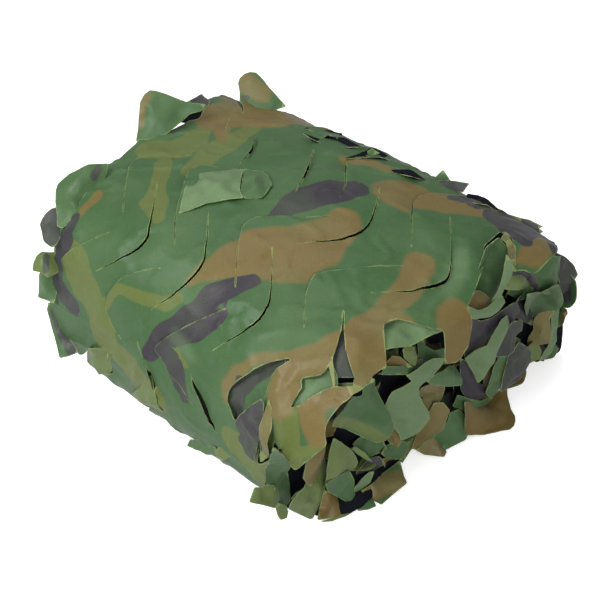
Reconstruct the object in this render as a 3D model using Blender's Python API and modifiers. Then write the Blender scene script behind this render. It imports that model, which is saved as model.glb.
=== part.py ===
"""Camouflage net, folded into a soft bundle.

One continuous sheet of die-cut cloth: the outer turn wraps the bundle, laps over its own
first end on the floor and then runs back and forth inside as a stack of layers.
Axes: X along the folds (leafy cut ends at both X ends), Y across them, Z up, floor at Z = 0.
All sizes are in metres.
"""
import bpy
import numpy as np
from mathutils import Vector
from mathutils.geometry import delaunay_2d_cdt

OBJECT_NAME = "camouflage_net"
CENTRING = (0.01012, 0.00425, 0.00001)  # moves the bundle's box to stand centred on the origin

# ---------------------------------------------------------------- driving sizes
SHEET_THICKNESS = 0.0022        # cloth with its backing
TURN_STEP = 0.016               # spacing of the rows of the mesh on the outer turn
LAYER_STEP = 0.040              # the same on the floor run and the inner layers
FOLD_STEP = 0.0046              # the same round the tight inner folds
COLUMN_STEP = 0.034             # spacing of the columns on the outer turn
INNER_COLUMN_STEP = 0.070       # spacing of the columns on the inner layers
END_MARGIN = 0.010              # clear strip between the columns and the cut ends
SLIT_MARGIN = 0.0065            # clear strip between the columns and a slit
REFERENCE_DEPTH = 0.155         # half depth used when the cloth is measured along its section
REFERENCE_HEIGHT = 0.170        # height used for the same

# plan and height of the bundle at stations along X
STATIONS = (
    # along   front    back    height
    (-0.240, -0.148,  0.104,  0.152),
    (-0.150, -0.159,  0.123,  0.173),
    (-0.060, -0.162,  0.131,  0.181),
    ( 0.030, -0.161,  0.141,  0.177),
    ( 0.110, -0.160,  0.152,  0.168),
    ( 0.200, -0.158,  0.164,  0.158),
)
# section of the outer turn, as shares of the half depth and of the height
TURN = (
    # across   up
    (-0.500, 0.000),
    (-0.740, 0.000),
    (-0.930, 0.075),
    (-1.000, 0.270),
    (-0.985, 0.520),
    (-0.900, 0.770),
    (-0.700, 0.935),
    (-0.380, 0.990),
    ( 0.000, 1.000),
    ( 0.400, 0.985),
    ( 0.700, 0.935),
    ( 0.900, 0.800),
    ( 0.990, 0.550),
    ( 1.000, 0.280),
    ( 0.930, 0.080),
    ( 0.760, 0.000),
    ( 0.500, 0.000),
    ( 0.000, 0.000),
    (-0.300, 0.000),
)
# the floor run climbs over the first end of the cloth and lies on it
LAP = (
    # across   up
    (-0.440, 0.018),
    (-0.600, 0.020),
    (-0.740, 0.021),
)
# tight folds of the inner stack from the bottom up, each with the level of the layer it
# leads into: 0 is the lap, 1 the underside of the outer turn
FOLDS = (
    # across   level
    (-0.740, 0.100),
    ( 0.830, 0.195),
    (-0.880, 0.290),
    ( 0.890, 0.390),
    (-0.900, 0.490),
    ( 0.895, 0.590),
    (-0.870, 0.690),
    ( 0.850, 0.790),
    (-0.790, 0.885),
)
LAST_END = 0.660                # where the last layer ends, across
FOLD_BULGE = 0.055              # how far a tight fold stands out past its layers, across
FOLD_POINTS = 9                 # measuring points round a tight fold
LAYER_POINTS = 11               # measuring points along an inner layer
LAYER_WAVES = (
    # rise   waves  phase
    (0.012,  3.0,  0.4),
    (0.020,  2.0,  1.3),
    (0.022,  3.0,  2.6),
    (0.018,  4.0,  0.2),
    (0.024,  3.0,  3.9),
    (0.022,  2.0,  5.1),
    (0.024,  3.0,  1.0),
    (0.016,  4.0,  2.2),
    (0.010,  2.0,  0.0),
)
SMOOTH_STEPS = 12               # measuring points between two rows of the section

# rows of chevron slits on the outer turn; heading 1 points toward +X, -1 toward -X; rise is
# the angle in degrees by which the cut tongues stand out
SLIT_ROWS = (
    # along  first_tip count heading reach  depth   gap    rise
    (0.112, -0.136, 5,  1, 0.060, 0.036, 0.0055,  8.0),
    (0.168, -0.130, 5, -1, 0.060, 0.038, 0.0050,  8.0),
    (0.232, -0.127, 5,  1, 0.062, 0.038, 0.0060, 10.0),
    (0.303, -0.137, 5, -1, 0.066, 0.036, 0.0045,  7.0),
    (0.352, -0.129, 5,  1, 0.064, 0.037, 0.0055, 10.0),
    (0.426, -0.067, 4, -1, 0.056, 0.034, 0.0045,  7.0),
    (0.478, -0.059, 4,  1, 0.060, 0.036, 0.0050,  9.0),
    (0.472, -0.169, 1, -1, 0.044, 0.042, 0.0050, 58.0),
    (0.548, -0.065, 4, -1, 0.056, 0.034, 0.0050,  9.0),
)
SLIT_PITCH = 0.068              # spacing of the slits of a row along X
SLIT_CLEARANCE = 0.010          # cloth kept between a slit and the cut end
SLIT_TAPER = 0.7                # how quickly a slit narrows to its ends
# centre line of a slit: shares of its reach along the cloth and of its depth behind the tip
CHEVRON = (
    # reach  depth
    (-0.68, 0.66),
    (-0.46, 0.36),
    (-0.22, 0.08),
    ( 0.04, 0.00),
    ( 0.30, 0.16),
    ( 0.64, 0.55),
    ( 1.00, 1.00),
)

# outlines of the cut leaves: shares of the width and of the length
LEAF_FORMS = {
    "round": (
        (0.00, 0.00),
        (-0.03, 0.45),
        (0.12, 0.86),
        (0.38, 1.00),
        (0.68, 0.97),
        (0.93, 0.78),
        (1.03, 0.42),
        (1.00, 0.00),
    ),
    "pointed": (
        (0.00, 0.00),
        (0.05, 0.38),
        (0.27, 0.76),
        (0.48, 1.00),
        (0.70, 0.80),
        (0.96, 0.40),
        (1.00, 0.00),
    ),
    "short": (
        (0.00, 0.00),
        (0.10, 0.62),
        (0.45, 1.00),
        (0.85, 0.70),
        (1.00, 0.00),
    ),
}
LEAF_CURL = 0.022               # length over which a leaf turns out of its layer
LEAF_CENTRE = (0.50, 0.45)      # inner point of a leaf, shares of its width and length

# leaves at the +X end of the outer turn; turn is the bend inward in degrees
RIGHT_LEAVES = (
    # start  width   root  length  lean   turn  form
    (0.012, 0.044, 0.138, 0.032,  0.00,   0.0, "short"),
    (0.066, 0.040, 0.126, 0.024, -0.10,   8.0, "short"),
    (0.118, 0.046, 0.122, 0.044,  0.10,  20.0, "pointed"),
    (0.176, 0.048, 0.124, 0.050,  0.10,  34.0, "pointed"),
    (0.236, 0.034, 0.140, 0.028,  0.00,  40.0, "short"),
    (0.280, 0.040, 0.148, 0.042, -0.05,  60.0, "round"),
    (0.330, 0.036, 0.160, 0.054,  0.05,  76.0, "round"),
    (0.378, 0.040, 0.160, 0.032,  0.05,  50.0, "pointed"),
    (0.428, 0.040, 0.150, 0.022,  0.00,  20.0, "short"),
    (0.478, 0.044, 0.150, 0.022,  0.10,  14.0, "pointed"),
    (0.526, 0.048, 0.150, 0.028,  0.05,   2.0, "round"),
    (0.588, 0.044, 0.150, 0.018,  0.05,   6.0, "short"),
    (0.644, 0.042, 0.150, 0.018,  0.00,   0.0, "short"),
    (0.690, 0.052, 0.156, 0.044, -0.05,  10.0, "round"),
    (0.750, 0.044, 0.156, 0.034,  0.05,   0.0, "pointed"),
    (0.808, 0.052, 0.152, 0.026,  0.00,   0.0, "round"),
)
# leaves at the -X end of the outer turn
LEFT_LEAVES = (
    # start  width   root  length  lean   turn  form
    (0.012, 0.042, -0.122, 0.022,  0.00,   0.0, "short"),
    (0.066, 0.046, -0.120, 0.034, -0.05,   0.0, "pointed"),
    (0.128, 0.038, -0.130, 0.036, -0.05,  -8.0, "short"),
    (0.174, 0.040, -0.140, 0.016,  0.05, -14.0, "round"),
    (0.224, 0.042, -0.148, 0.021,  0.00, -18.0, "round"),
    (0.278, 0.040, -0.154, 0.010,  0.00,   6.0, "short"),
    (0.350, 0.070, -0.170, 0.029,  0.05, -56.0, "round"),
    (0.438, 0.038, -0.184, 0.022,  0.05,   4.0, "short"),
    (0.486, 0.040, -0.192, 0.024,  0.05, -10.0, "pointed"),
    (0.536, 0.042, -0.192, 0.028,  0.05,   6.0, "short"),
    (0.590, 0.044, -0.184, 0.026,  0.00,   4.0, "short"),
    (0.646, 0.048, -0.176, 0.022,  0.00,   0.0, "short"),
    (0.706, 0.050, -0.166, 0.028,  0.05,   0.0, "pointed"),
    (0.770, 0.046, -0.152, 0.024,  0.00,   0.0, "short"),
)
# leaves of the inner layers, taken in turn along each layer; turn is added to the layer's own
LAYER_LEAVES = (
    # width   gap    length  lean   turn  form
    (0.048, 0.012, 0.030,  0.05,  -8.0, "pointed"),
    (0.042, 0.014, 0.024, -0.05,   8.0, "round"),
    (0.052, 0.012, 0.034,  0.05,   2.0, "round"),
    (0.038, 0.012, 0.028,  0.10,  12.0, "short"),
    (0.046, 0.012, 0.022, -0.05,  -8.0, "pointed"),
)
FOLD_CLEARANCE = 0.020          # cloth kept between a tight fold and the nearest leaf
# cut ends of the inner layers: setback and downward turn of the leaves at each end
LAYER_ENDS = (
    # right_back right_turn left_back left_turn
    (-0.004,   4.0, 0.004,   2.0),
    ( 0.010,  14.0, 0.014,   8.0),
    ( 0.002,  22.0, 0.008,  14.0),
    ( 0.014,  20.0, 0.014,  12.0),
    ( 0.006,  18.0, 0.004,  10.0),
    ( 0.016,  26.0, 0.018,  16.0),
    ( 0.008,  32.0, 0.010,  14.0),
    ( 0.018,  30.0, 0.020,  20.0),
    ( 0.026,  36.0, 0.018,  18.0),
)
INNER_ENDS = (
    # side   front    back
    ( 1.0,  0.126,  0.144),
    (-1.0, -0.128, -0.178),
)

# slow unevenness of the whole bundle
SWELL = 0.020                   # share of the height
SWELL_WAVE_X = 23.0             # radians per metre
SWELL_WAVE_Y = 17.0             # radians per metre
SWAY = 0.0045                   # sideways shift at the top
SWAY_WAVE = 19.0                # radians per metre

BASE_COLOR = (0.082, 0.163, 0.080, 1.0)
ROUGHNESS = 0.62


# ---------------------------------------------------------------- section of the folded cloth
def smooth_line(rows, steps):
    """Run a smooth curve through the rows, with the given number of steps between them."""
    points = np.array(rows, dtype=float)
    first = 2.0 * points[0] - points[1]
    last = 2.0 * points[-1] - points[-2]
    padded = np.vstack([first, points, last])
    share = np.linspace(0.0, 1.0, steps, endpoint=False)[:, None]
    pieces = []
    for start in range(1, len(padded) - 2):
        before, here, after, beyond = padded[start - 1:start + 3]
        linear = after - before
        square = 2.0 * before - 5.0 * here + 4.0 * after - beyond
        cube = 3.0 * here - before - 3.0 * after + beyond
        pieces.append(0.5 * (2.0 * here + linear * share + square * share ** 2 + cube * share ** 3))
    pieces.append(points[-1:])
    return np.vstack(pieces)


def level_height(across, level, turn):
    """Height share of a level of the inner stack at a place across the bundle."""
    upper = turn[turn[:, 1] > 0.5]
    ceiling = np.interp(across, upper[:, 0], upper[:, 1])
    floor = LAP[-1][1]
    return floor + level * (ceiling - floor)


def layer_line(start, end, level, wave, turn):
    """Measuring points of one inner layer, waved between its two folds."""
    rise, waves, phase = wave
    share = np.linspace(0.0, 1.0, LAYER_POINTS + 2)[1:-1]
    across = start + (end - start) * share
    height = level_height(across, level, turn)
    ripple = rise * np.sin(np.pi * share) * np.sin(np.pi * waves * share + phase)
    return np.column_stack([across, height + ripple])


class Section:
    """The folded cloth seen from its end, measured along its developed length."""

    def __init__(self):
        turn = smooth_line(TURN, SMOOTH_STEPS)
        turn[:, 1] = np.maximum(turn[:, 1], 0.0)
        pieces = [turn, np.array(LAP)]
        count = len(turn) + len(LAP)
        self.fold_marks = []
        angles = np.linspace(0.0, np.pi, FOLD_POINTS)
        level = 0.0
        ends = [fold[0] for fold in FOLDS[1:]] + [LAST_END]
        for (place, next_level), end, wave in zip(FOLDS, ends, LAYER_WAVES):
            across = place + np.sign(place) * FOLD_BULGE * np.sin(angles)
            levels = level + (next_level - level) * 0.5 * (1.0 - np.cos(angles))
            pieces.append(np.column_stack([across, level_height(across, levels, turn)]))
            self.fold_marks.append((count, count + FOLD_POINTS - 1))
            count += FOLD_POINTS
            level = next_level
            pieces.append(layer_line(place, end, level, wave, turn))
            count += LAYER_POINTS
        pieces.append(np.array([[LAST_END, level_height(LAST_END, level, turn)]]))
        self.line = np.vstack(pieces)
        metres = self.line * np.array([REFERENCE_DEPTH, REFERENCE_HEIGHT])
        steps = np.linalg.norm(np.diff(metres, axis=0), axis=1)
        self.length = np.concatenate([[0.0], np.cumsum(steps)])
        self.turn_end = self.length[len(turn) - 1]
        self.curve_end = np.interp(-TURN[-4][0], -turn[-4 * SMOOTH_STEPS:, 0],
                                   self.length[len(turn) - 4 * SMOOTH_STEPS:len(turn)])

    def folds(self):
        """Start and end of every tight fold along the cloth."""
        return [(self.length[first], self.length[last]) for first, last in self.fold_marks]

    def layers(self):
        """Start and end of every inner layer along the cloth."""
        folds = self.folds()
        ends = [fold[0] for fold in folds[1:]] + [self.length[-1]]
        return [(fold[1], end) for fold, end in zip(folds, ends)]

    def across(self, cloth):
        """Share across the bundle at a place along the cloth."""
        return np.interp(cloth, self.length, self.line[:, 0])

    def up(self, cloth):
        """Share of the height at a place along the cloth."""
        return np.interp(cloth, self.length, self.line[:, 1])

    def outward(self, cloth):
        """Unit normal of the cloth in the YZ plane, outward on the outer turn."""
        reach = 0.5 * FOLD_STEP
        run_y = (self.across(cloth + reach) - self.across(cloth - reach)) * REFERENCE_DEPTH
        run_z = (self.up(cloth + reach) - self.up(cloth - reach)) * REFERENCE_HEIGHT
        size = np.maximum(np.hypot(run_y, run_z), 1e-9)
        return np.column_stack([-run_z / size, run_y / size])


# ---------------------------------------------------------------- flat cutting pattern
class Pattern:
    """Points, cut lines and leaf bends of the sheet laid flat: cloth length by X."""

    def __init__(self, section):
        self.section = section
        self.points = []
        self.bends = []
        self.loops = []
        self.slits = []

    def add(self, cloth, along, side=0.0, root=0.0, turn=0.0, inner=0.0):
        """Add a point of the flat sheet with the leaf bend it takes part in."""
        self.points.append((cloth, along))
        self.bends.append((side, root, turn, inner))
        return len(self.points) - 1

    def leaf(self, side, start, width, root, length, lean, turn, form, inner):
        """Outline of one cut leaf, with a point in its middle."""
        marks = []
        for wide, long in LEAF_FORMS[form]:
            cloth = start + (wide + lean * long) * width
            marks.append(self.add(cloth, root + side * length * long, side, root, turn, inner))
        wide, long = LEAF_CENTRE
        self.add(start + wide * width, root + side * length * long, side, root, turn, inner)
        return marks

    def inner_root(self, side, layer, cloth):
        """X of the cut end of an inner layer, before its leaves; folds are not set back."""
        row = INNER_ENDS[0] if side > 0.0 else INNER_ENDS[1]
        setback = LAYER_ENDS[layer][0] if side > 0.0 else LAYER_ENDS[layer][2]
        start, end = self.section.layers()[layer]
        clear = np.clip(min(cloth - start, end - cloth) / FOLD_CLEARANCE, 0.0, 1.0)
        share = 0.5 * (self.section.across(cloth) + 1.0)
        return row[1] + (row[2] - row[1]) * share - side * setback * clear

    def edge(self, side):
        """Cut end of the whole sheet at one X end, from the first end of the cloth to the last."""
        rows = RIGHT_LEAVES if side > 0.0 else LEFT_LEAVES
        marks = [self.add(0.0, rows[0][2])]
        for start, width, root, length, lean, turn, form in rows:
            marks += self.leaf(side, start, width, root, length, lean, turn, form, 0.0)
        folds = self.section.folds()
        for layer, (start, end) in enumerate(self.section.layers()):
            fold_start, fold_end = folds[layer]
            near = rows[-1][2] if layer == 0 else self.inner_root(side, layer - 1, fold_start)
            far = self.inner_root(side, layer, fold_end)
            count = int(round((fold_end - fold_start) / FOLD_STEP)) + 1
            for cloth in np.linspace(fold_start, fold_end, count):
                share = (cloth - fold_start) / (fold_end - fold_start)
                marks.append(self.add(cloth, near + (far - near) * share))
            marks += self.layer_leaves(side, layer, start, end)
        last = self.section.length[-1]
        marks.append(self.add(last, self.inner_root(side, len(FOLDS) - 1, last)))
        return marks

    def layer_leaves(self, side, layer, start, end):
        """Leaves along the cut end of one inner layer."""
        marks = []
        turn = LAYER_ENDS[layer][1] if side > 0.0 else LAYER_ENDS[layer][3]
        pick = layer * 2 + (1 if side < 0.0 else 0)
        cloth = start + FOLD_CLEARANCE
        while True:
            width, gap, length, lean, more, form = LAYER_LEAVES[pick % len(LAYER_LEAVES)]
            if cloth + width * (1.0 + abs(lean)) > end - FOLD_CLEARANCE:
                break
            root = self.inner_root(side, layer, cloth + 0.5 * width)
            bend = turn + more
            marks += self.leaf(side, cloth, width, root, length, lean, bend, form, 1.0)
            cloth += width + gap
            pick += 1
        return marks

    def cut_slits(self):
        """Slits of the outer turn, as narrow openings that taper to their ends."""
        line = np.array(CHEVRON)
        share = np.linspace(0.0, 1.0, len(line))
        taper = np.sin(np.pi * share) ** SLIT_TAPER
        for cloth, first, count, heading, reach, depth, gap, rise in SLIT_ROWS:
            for column in range(count):
                tip = first + column * SLIT_PITCH
                back = tip - heading * depth
                if not self.room_for(cloth, min(tip, back), max(tip, back)):
                    continue
                half = 0.5 * gap * taper
                run = cloth + heading * line[:, 0] * reach
                outer = np.column_stack([run, tip + heading * (half - line[:, 1] * depth)])
                inner = np.column_stack([run, tip - heading * (half + line[:, 1] * depth)])
                ring = np.vstack([outer, inner[-2:0:-1]])
                marks = [self.add(place[0], place[1]) for place in ring]
                self.loops.append(marks)
                centre = 0.5 * (outer + inner)
                self.slits.append((ring, centre, heading, back, rise))

    def room_for(self, cloth, low, high):
        """Whether a slit stays clear of both cut ends."""
        left = np.interp(cloth, [row[0] for row in LEFT_LEAVES], [row[2] for row in LEFT_LEAVES])
        right = np.interp(cloth, [row[0] for row in RIGHT_LEAVES], [row[2] for row in RIGHT_LEAVES])
        return low - SLIT_CLEARANCE > left and high + SLIT_CLEARANCE < right

    def columns(self, cloth, left, right, step):
        """One row of inner points between the two cut ends, clear of the slits."""
        low = left + END_MARGIN
        high = right - END_MARGIN
        for along in np.linspace(low, high, int(round((high - low) / step)) + 1):
            if self.distance_to_slits(cloth, along) > SLIT_MARGIN:
                self.add(cloth, along)

    def distance_to_slits(self, cloth, along):
        """Distance on the flat cloth to the nearest slit."""
        best = 1.0
        place = np.array([cloth, along])
        for _ring, centre, _heading, _hinge, _rise in self.slits:
            start = centre[:-1]
            run = centre[1:] - start
            share = np.clip(((place - start) * run).sum(axis=1) / (run * run).sum(axis=1), 0.0, 1.0)
            gaps = np.linalg.norm(start + run * share[:, None] - place, axis=1)
            best = min(best, float(gaps.min()))
        return best

    def fill(self):
        """Inner points of the whole sheet."""
        section = self.section
        left_rows = np.array([row[:3] for row in LEFT_LEAVES])
        right_rows = np.array([row[:3] for row in RIGHT_LEAVES])
        turn_rows = spaced(0.0, section.curve_end, TURN_STEP)
        floor_rows = spaced(section.curve_end, section.folds()[0][0], LAYER_STEP)
        for index, cloth in enumerate(turn_rows + floor_rows):
            left = np.interp(cloth, left_rows[:, 0] + 0.5 * left_rows[:, 1], left_rows[:, 2])
            right = np.interp(cloth, right_rows[:, 0] + 0.5 * right_rows[:, 1], right_rows[:, 2])
            step = COLUMN_STEP if index < len(turn_rows) else INNER_COLUMN_STEP
            self.columns(cloth, left, right, step)
        for layer, (start, end) in enumerate(section.layers()):
            fold_rows = spaced(section.folds()[layer][0], start, FOLD_STEP)
            for cloth in fold_rows + spaced(start, end, LAYER_STEP):
                left = self.inner_root(-1.0, layer, cloth)
                right = self.inner_root(1.0, layer, cloth)
                self.columns(cloth, left, right, INNER_COLUMN_STEP)

    def triangles(self):
        """Triangles of the flat sheet, without those inside the slits."""
        edges = []
        for loop in self.loops:
            edges += list(zip(loop, loop[1:] + loop[:1]))
        flat = [Vector(point) for point in self.points]
        result = delaunay_2d_cdt(flat, edges, [], 1, 1e-7)
        points = np.array([tuple(point) for point in result[0]])
        source = np.array([origins[0] if origins else -1 for origins in result[3]])
        faces = np.array([face for face in result[2] if len(face) == 3])
        centres = points[faces].mean(axis=1)
        keep = np.ones(len(faces), dtype=bool)
        for ring, _centre, _heading, _hinge, _rise in self.slits:
            keep &= ~inside(centres, ring)
        return points, source, faces[keep]


def spaced(start, end, step):
    """Places from start up to, not including, end."""
    count = max(1, int(round((end - start) / step)))
    return list(np.linspace(start, end, count, endpoint=False))


def inside(places, ring):
    """Which places lie inside a closed outline, by counting crossings."""
    result = np.zeros(len(places), dtype=bool)
    following = np.roll(ring, -1, axis=0)
    for here, after in zip(ring, following):
        spans = (here[1] > places[:, 1]) != (after[1] > places[:, 1])
        rise = after[1] - here[1]
        rise = rise if abs(rise) > 1e-12 else 1e-12
        crossing = here[0] + (places[:, 1] - here[1]) / rise * (after[0] - here[0])
        result ^= spans & (places[:, 0] < crossing)
    return result


# ---------------------------------------------------------------- folding the flat sheet
def bent(past, angle):
    """Run forward and offset of cloth that curls out of its layer and then runs straight."""
    curled = np.minimum(past, LEAF_CURL)
    bend = angle * curled / LEAF_CURL
    free = past - curled
    forward = curled * np.sinc(bend / np.pi) + free * np.cos(angle)
    offset = curled * np.sin(0.5 * bend) * np.sinc(0.5 * bend / np.pi) + free * np.sin(angle)
    return forward, offset


def raised_tongues(pattern, points):
    """Place along X and rise of the cut tongues, which stand out from their hinges."""
    along = points[:, 1].copy()
    lift = np.zeros(len(points))
    for _ring, centre, heading, hinge, rise in pattern.slits:
        within = inside(points, centre)
        past = np.maximum(heading * (points[:, 1] - hinge), 0.0)
        forward, offset = bent(past, np.radians(rise))
        along = np.where(within, hinge + heading * forward, along)
        lift = np.where(within, np.maximum(lift, offset), lift)
    return along, lift


def folded(section, pattern, points, source):
    """Positions in space of the points of the flat sheet."""
    cloth = points[:, 0]
    side, root, turn, inner = np.array(pattern.bends)[source].T
    flat, lift = raised_tongues(pattern, points)
    past = np.where(side != 0.0, np.maximum(side * (points[:, 1] - root), 0.0), 0.0)
    base = np.where(past > 0.0, root, flat)
    forward, offset = bent(past, np.radians(turn))

    station = np.array(STATIONS)
    front = np.interp(base, station[:, 0], station[:, 1])
    back = np.interp(base, station[:, 0], station[:, 2])
    height = np.interp(base, station[:, 0], station[:, 3])
    along = base + side * forward
    across = front + 0.5 * (section.across(cloth) + 1.0) * (back - front)
    share = section.up(cloth)
    up = share * (height - SHEET_THICKNESS)

    outward = section.outward(cloth)
    inward_y = np.where(inner > 0.0, 0.0, -outward[:, 0])
    inward_z = np.where(inner > 0.0, -1.0, -outward[:, 1])
    across = across + offset * inward_y + lift * outward[:, 0]
    up = up + offset * inward_z + lift * outward[:, 1]

    swell = 1.0 + SWELL * np.sin(SWELL_WAVE_X * along + 0.7) * np.cos(SWELL_WAVE_Y * across)
    sway = SWAY * share * np.sin(SWAY_WAVE * along + 0.4)
    return np.column_stack([along, across + sway, up * swell + 0.5 * SHEET_THICKNESS])


# ---------------------------------------------------------------- building
def clear_scene():
    """Remove whatever the scene holds at the start."""
    for item in list(bpy.data.objects):
        bpy.data.objects.remove(item, do_unlink=True)


def cloth_material():
    """Matt printed cloth."""
    material = bpy.data.materials.new("printed_cloth")
    material.use_nodes = True
    shader = material.node_tree.nodes["Principled BSDF"]
    shader.inputs["Base Color"].default_value = BASE_COLOR
    shader.inputs["Roughness"].default_value = ROUGHNESS
    shader.inputs["Metallic"].default_value = 0.0
    material.diffuse_color = BASE_COLOR
    return material


def build_net():
    """Cut the sheet, fold it and give it its thickness."""
    section = Section()
    pattern = Pattern(section)
    right = pattern.edge(1.0)
    left = pattern.edge(-1.0)
    pattern.loops.append(right + left[::-1])
    pattern.cut_slits()
    pattern.fill()
    points, source, faces = pattern.triangles()
    places = folded(section, pattern, points, source)

    mesh = bpy.data.meshes.new(OBJECT_NAME)
    mesh.from_pydata(places.tolist(), [], faces.tolist())
    mesh.validate()
    net = bpy.data.objects.new(OBJECT_NAME, mesh)
    thick = net.modifiers.new("thickness", "SOLIDIFY")
    thick.thickness = SHEET_THICKNESS
    thick.offset = 0.0
    thick.use_even_offset = True
    thick.use_rim = True
    net.data.materials.append(cloth_material())
    net.location = CENTRING
    return net


def main():
    """Build the folded net in its own collection."""
    clear_scene()
    group = bpy.data.collections.new(OBJECT_NAME)
    bpy.context.scene.collection.children.link(group)
    group.objects.link(build_net())


main()
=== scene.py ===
"""Camouflage net, folded into a soft bundle, with its print, cut leaves and studio.

The net is one long sheet of printed cloth. Its outer turn wraps the bundle, laps over its
own first end on the floor and runs back and forth inside as a stack of layers. The sheet is
cut flat, with chevron slits and leaves along its ends, and is then laid round the folded
section. What the camera sees of its ends, leaves and blots is laid out in pixels of the
camera's picture, and a chart carries those marks on to the cloth. All sizes are in metres
unless they say otherwise; X runs along the folds, Y across them and Z up.
"""

import hashlib
import logging
import math
from dataclasses import dataclass, field
from enum import Enum

import bpy
import numpy as np
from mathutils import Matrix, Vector
from mathutils.geometry import delaunay_2d_cdt


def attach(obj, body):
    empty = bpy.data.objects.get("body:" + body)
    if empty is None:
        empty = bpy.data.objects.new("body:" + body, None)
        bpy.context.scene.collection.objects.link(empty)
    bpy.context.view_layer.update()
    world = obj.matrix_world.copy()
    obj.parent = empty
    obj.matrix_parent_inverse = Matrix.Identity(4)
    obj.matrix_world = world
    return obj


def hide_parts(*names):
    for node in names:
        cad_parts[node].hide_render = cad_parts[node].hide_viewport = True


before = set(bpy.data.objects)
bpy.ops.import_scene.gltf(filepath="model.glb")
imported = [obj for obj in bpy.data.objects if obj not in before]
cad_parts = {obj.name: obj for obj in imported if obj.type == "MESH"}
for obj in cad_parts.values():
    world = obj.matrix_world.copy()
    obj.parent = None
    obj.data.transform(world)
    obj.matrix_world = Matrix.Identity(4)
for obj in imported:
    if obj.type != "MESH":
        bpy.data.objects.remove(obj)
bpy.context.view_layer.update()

Array = np.ndarray
LOG = logging.getLogger("camouflage_net")
NODE = "camouflage_net"
BODY = "root"
CENTRING = np.array([0.01012, 0.00425, 0.00001])  # the bundle's own middle, as the solids have it
MM = 0.001
EDGE_REACH = 0.003  # how far in from a cut edge the edge distance is kept


# ---------------------------------------------------------------- uneven values
PRIMES = (374761393, 668265263, 2147483629)  # weights that set the corners of a lattice apart
MIXER = 1274126177
SEED_STEP = 144665


@dataclass(frozen=True)
class SoftNoise:
    """Smooth uneven values between -1 and 1, the same at the same place every time.

    Each corner of a square lattice holds a mixed-up number, and a place takes the smooth
    blend of the four or eight corners round it.
    """

    size: float
    seed: int

    def corner(self, cells: Array) -> Array:
        """Value at whole-number lattice corners.

        Args:
            cells: lattice corners, one row each.

        Returns:
            Values from -1 to 1.
        """
        mixed = (cells * np.array(PRIMES[:cells.shape[1]])).sum(axis=1) + self.seed * SEED_STEP
        mixed = (mixed ^ (mixed >> 13)) * MIXER
        mixed = (mixed ^ (mixed >> 16)) & 0xFFFFF
        return mixed / float(0x7FFFF) - 1.0

    def at(self, places: Array) -> Array:
        """Blend of the lattice corners round each place.

        Args:
            places: positions in metres, two or three columns.

        Returns:
            Values from -1 to 1.
        """
        scaled = places / self.size + 1000.0
        base = np.floor(scaled).astype(np.int64)
        share = scaled - base
        share = share * share * (3.0 - 2.0 * share)
        columns = places.shape[1]
        total = np.zeros(len(places))
        for corner in range(2 ** columns):
            step = np.array([(corner >> column) & 1 for column in range(columns)])
            weight = np.prod(np.where(step == 1, share, 1.0 - share), axis=1)
            total += weight * self.corner(base + step)
        return total


def smooth_line(rows: Array, steps: int) -> Array:
    """Run a smooth curve through the rows.

    Between two rows the curve is the cubic that leaves each row along the line from the row
    before it to the row after it.

    Args:
        rows: points to pass through.
        steps: steps between two rows.

    Returns:
        Points of the curve, the given ones among them.
    """
    points = np.array(rows, dtype=float)
    padded = np.vstack([2.0 * points[0] - points[1], points, 2.0 * points[-1] - points[-2]])
    before, here, after, beyond = (padded[k:len(padded) - 3 + k, None, :] for k in range(4))
    share = np.linspace(0.0, 1.0, steps, endpoint=False)[None, :, None]
    linear = after - before
    square = 2.0 * before - 5.0 * here + 4.0 * after - beyond
    cube = 3.0 * here - before - 3.0 * after + beyond
    curve = 0.5 * (2.0 * here + linear * share + square * share ** 2 + cube * share ** 3)
    return np.vstack([curve.reshape(-1, points.shape[1]), points[-1:]])


def densified(line: Array, step: float) -> Array:
    """Add points along a line so that no stretch is longer than the step.

    Args:
        line: corners of the line.
        step: longest stretch.

    Returns:
        The line with evenly spaced points between its corners.
    """
    pieces = []
    for here, after in zip(line[:-1], line[1:]):
        count = max(1, int(math.ceil(float(np.linalg.norm(after - here)) / step)))
        pieces.append(here + (after - here) * np.linspace(0.0, 1.0, count, endpoint=False)[:, None])
    pieces.append(line[-1:])
    return np.vstack(pieces)


def rounded(corners: Array, steps: int, share: float = 0.34) -> Array:
    """Round the corners of an open line, with straight stretches left between them.

    Each corner is replaced by the parabola that touches both of its sides at the share
    of their lengths.

    Args:
        corners: corners of the line.
        steps: steps round each corner.
        share: share of each side that a corner takes.

    Returns:
        Points of the rounded line.
    """
    before = corners[1:-1] + (corners[:-2] - corners[1:-1]) * share
    after = corners[1:-1] + (corners[2:] - corners[1:-1]) * share
    run = np.linspace(0.0, 1.0, steps + 1)[None, :, None]
    arcs = ((1 - run) ** 2 * before[:, None] + 2 * run * (1 - run) * corners[1:-1, None]
            + run ** 2 * after[:, None])
    return np.vstack([corners[:1], arcs.reshape(-1, corners.shape[1]), corners[-1:]])


def inside(places: Array, ring: Array) -> Array:
    """Which places lie inside a closed outline, by counting crossings.

    Args:
        places: positions, two columns.
        ring: corners of the outline.

    Returns:
        True for the places inside.
    """
    result = np.zeros(len(places), dtype=bool)
    near = np.all((places >= ring.min(axis=0)) & (places <= ring.max(axis=0)), axis=1)
    here = places[near]
    start, end = ring, np.roll(ring, -1, axis=0)
    spans = (start[:, 1] > here[:, 1:2]) != (end[:, 1] > here[:, 1:2])
    rise = end[:, 1] - start[:, 1]
    rise = np.where(np.abs(rise) > 1e-12, rise, 1e-12)
    crossing = start[:, 0] + (here[:, 1:2] - start[:, 1]) / rise * (end[:, 0] - start[:, 0])
    result[near] = (spans & (here[:, 0:1] < crossing)).sum(axis=1) % 2 == 1
    return result


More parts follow.
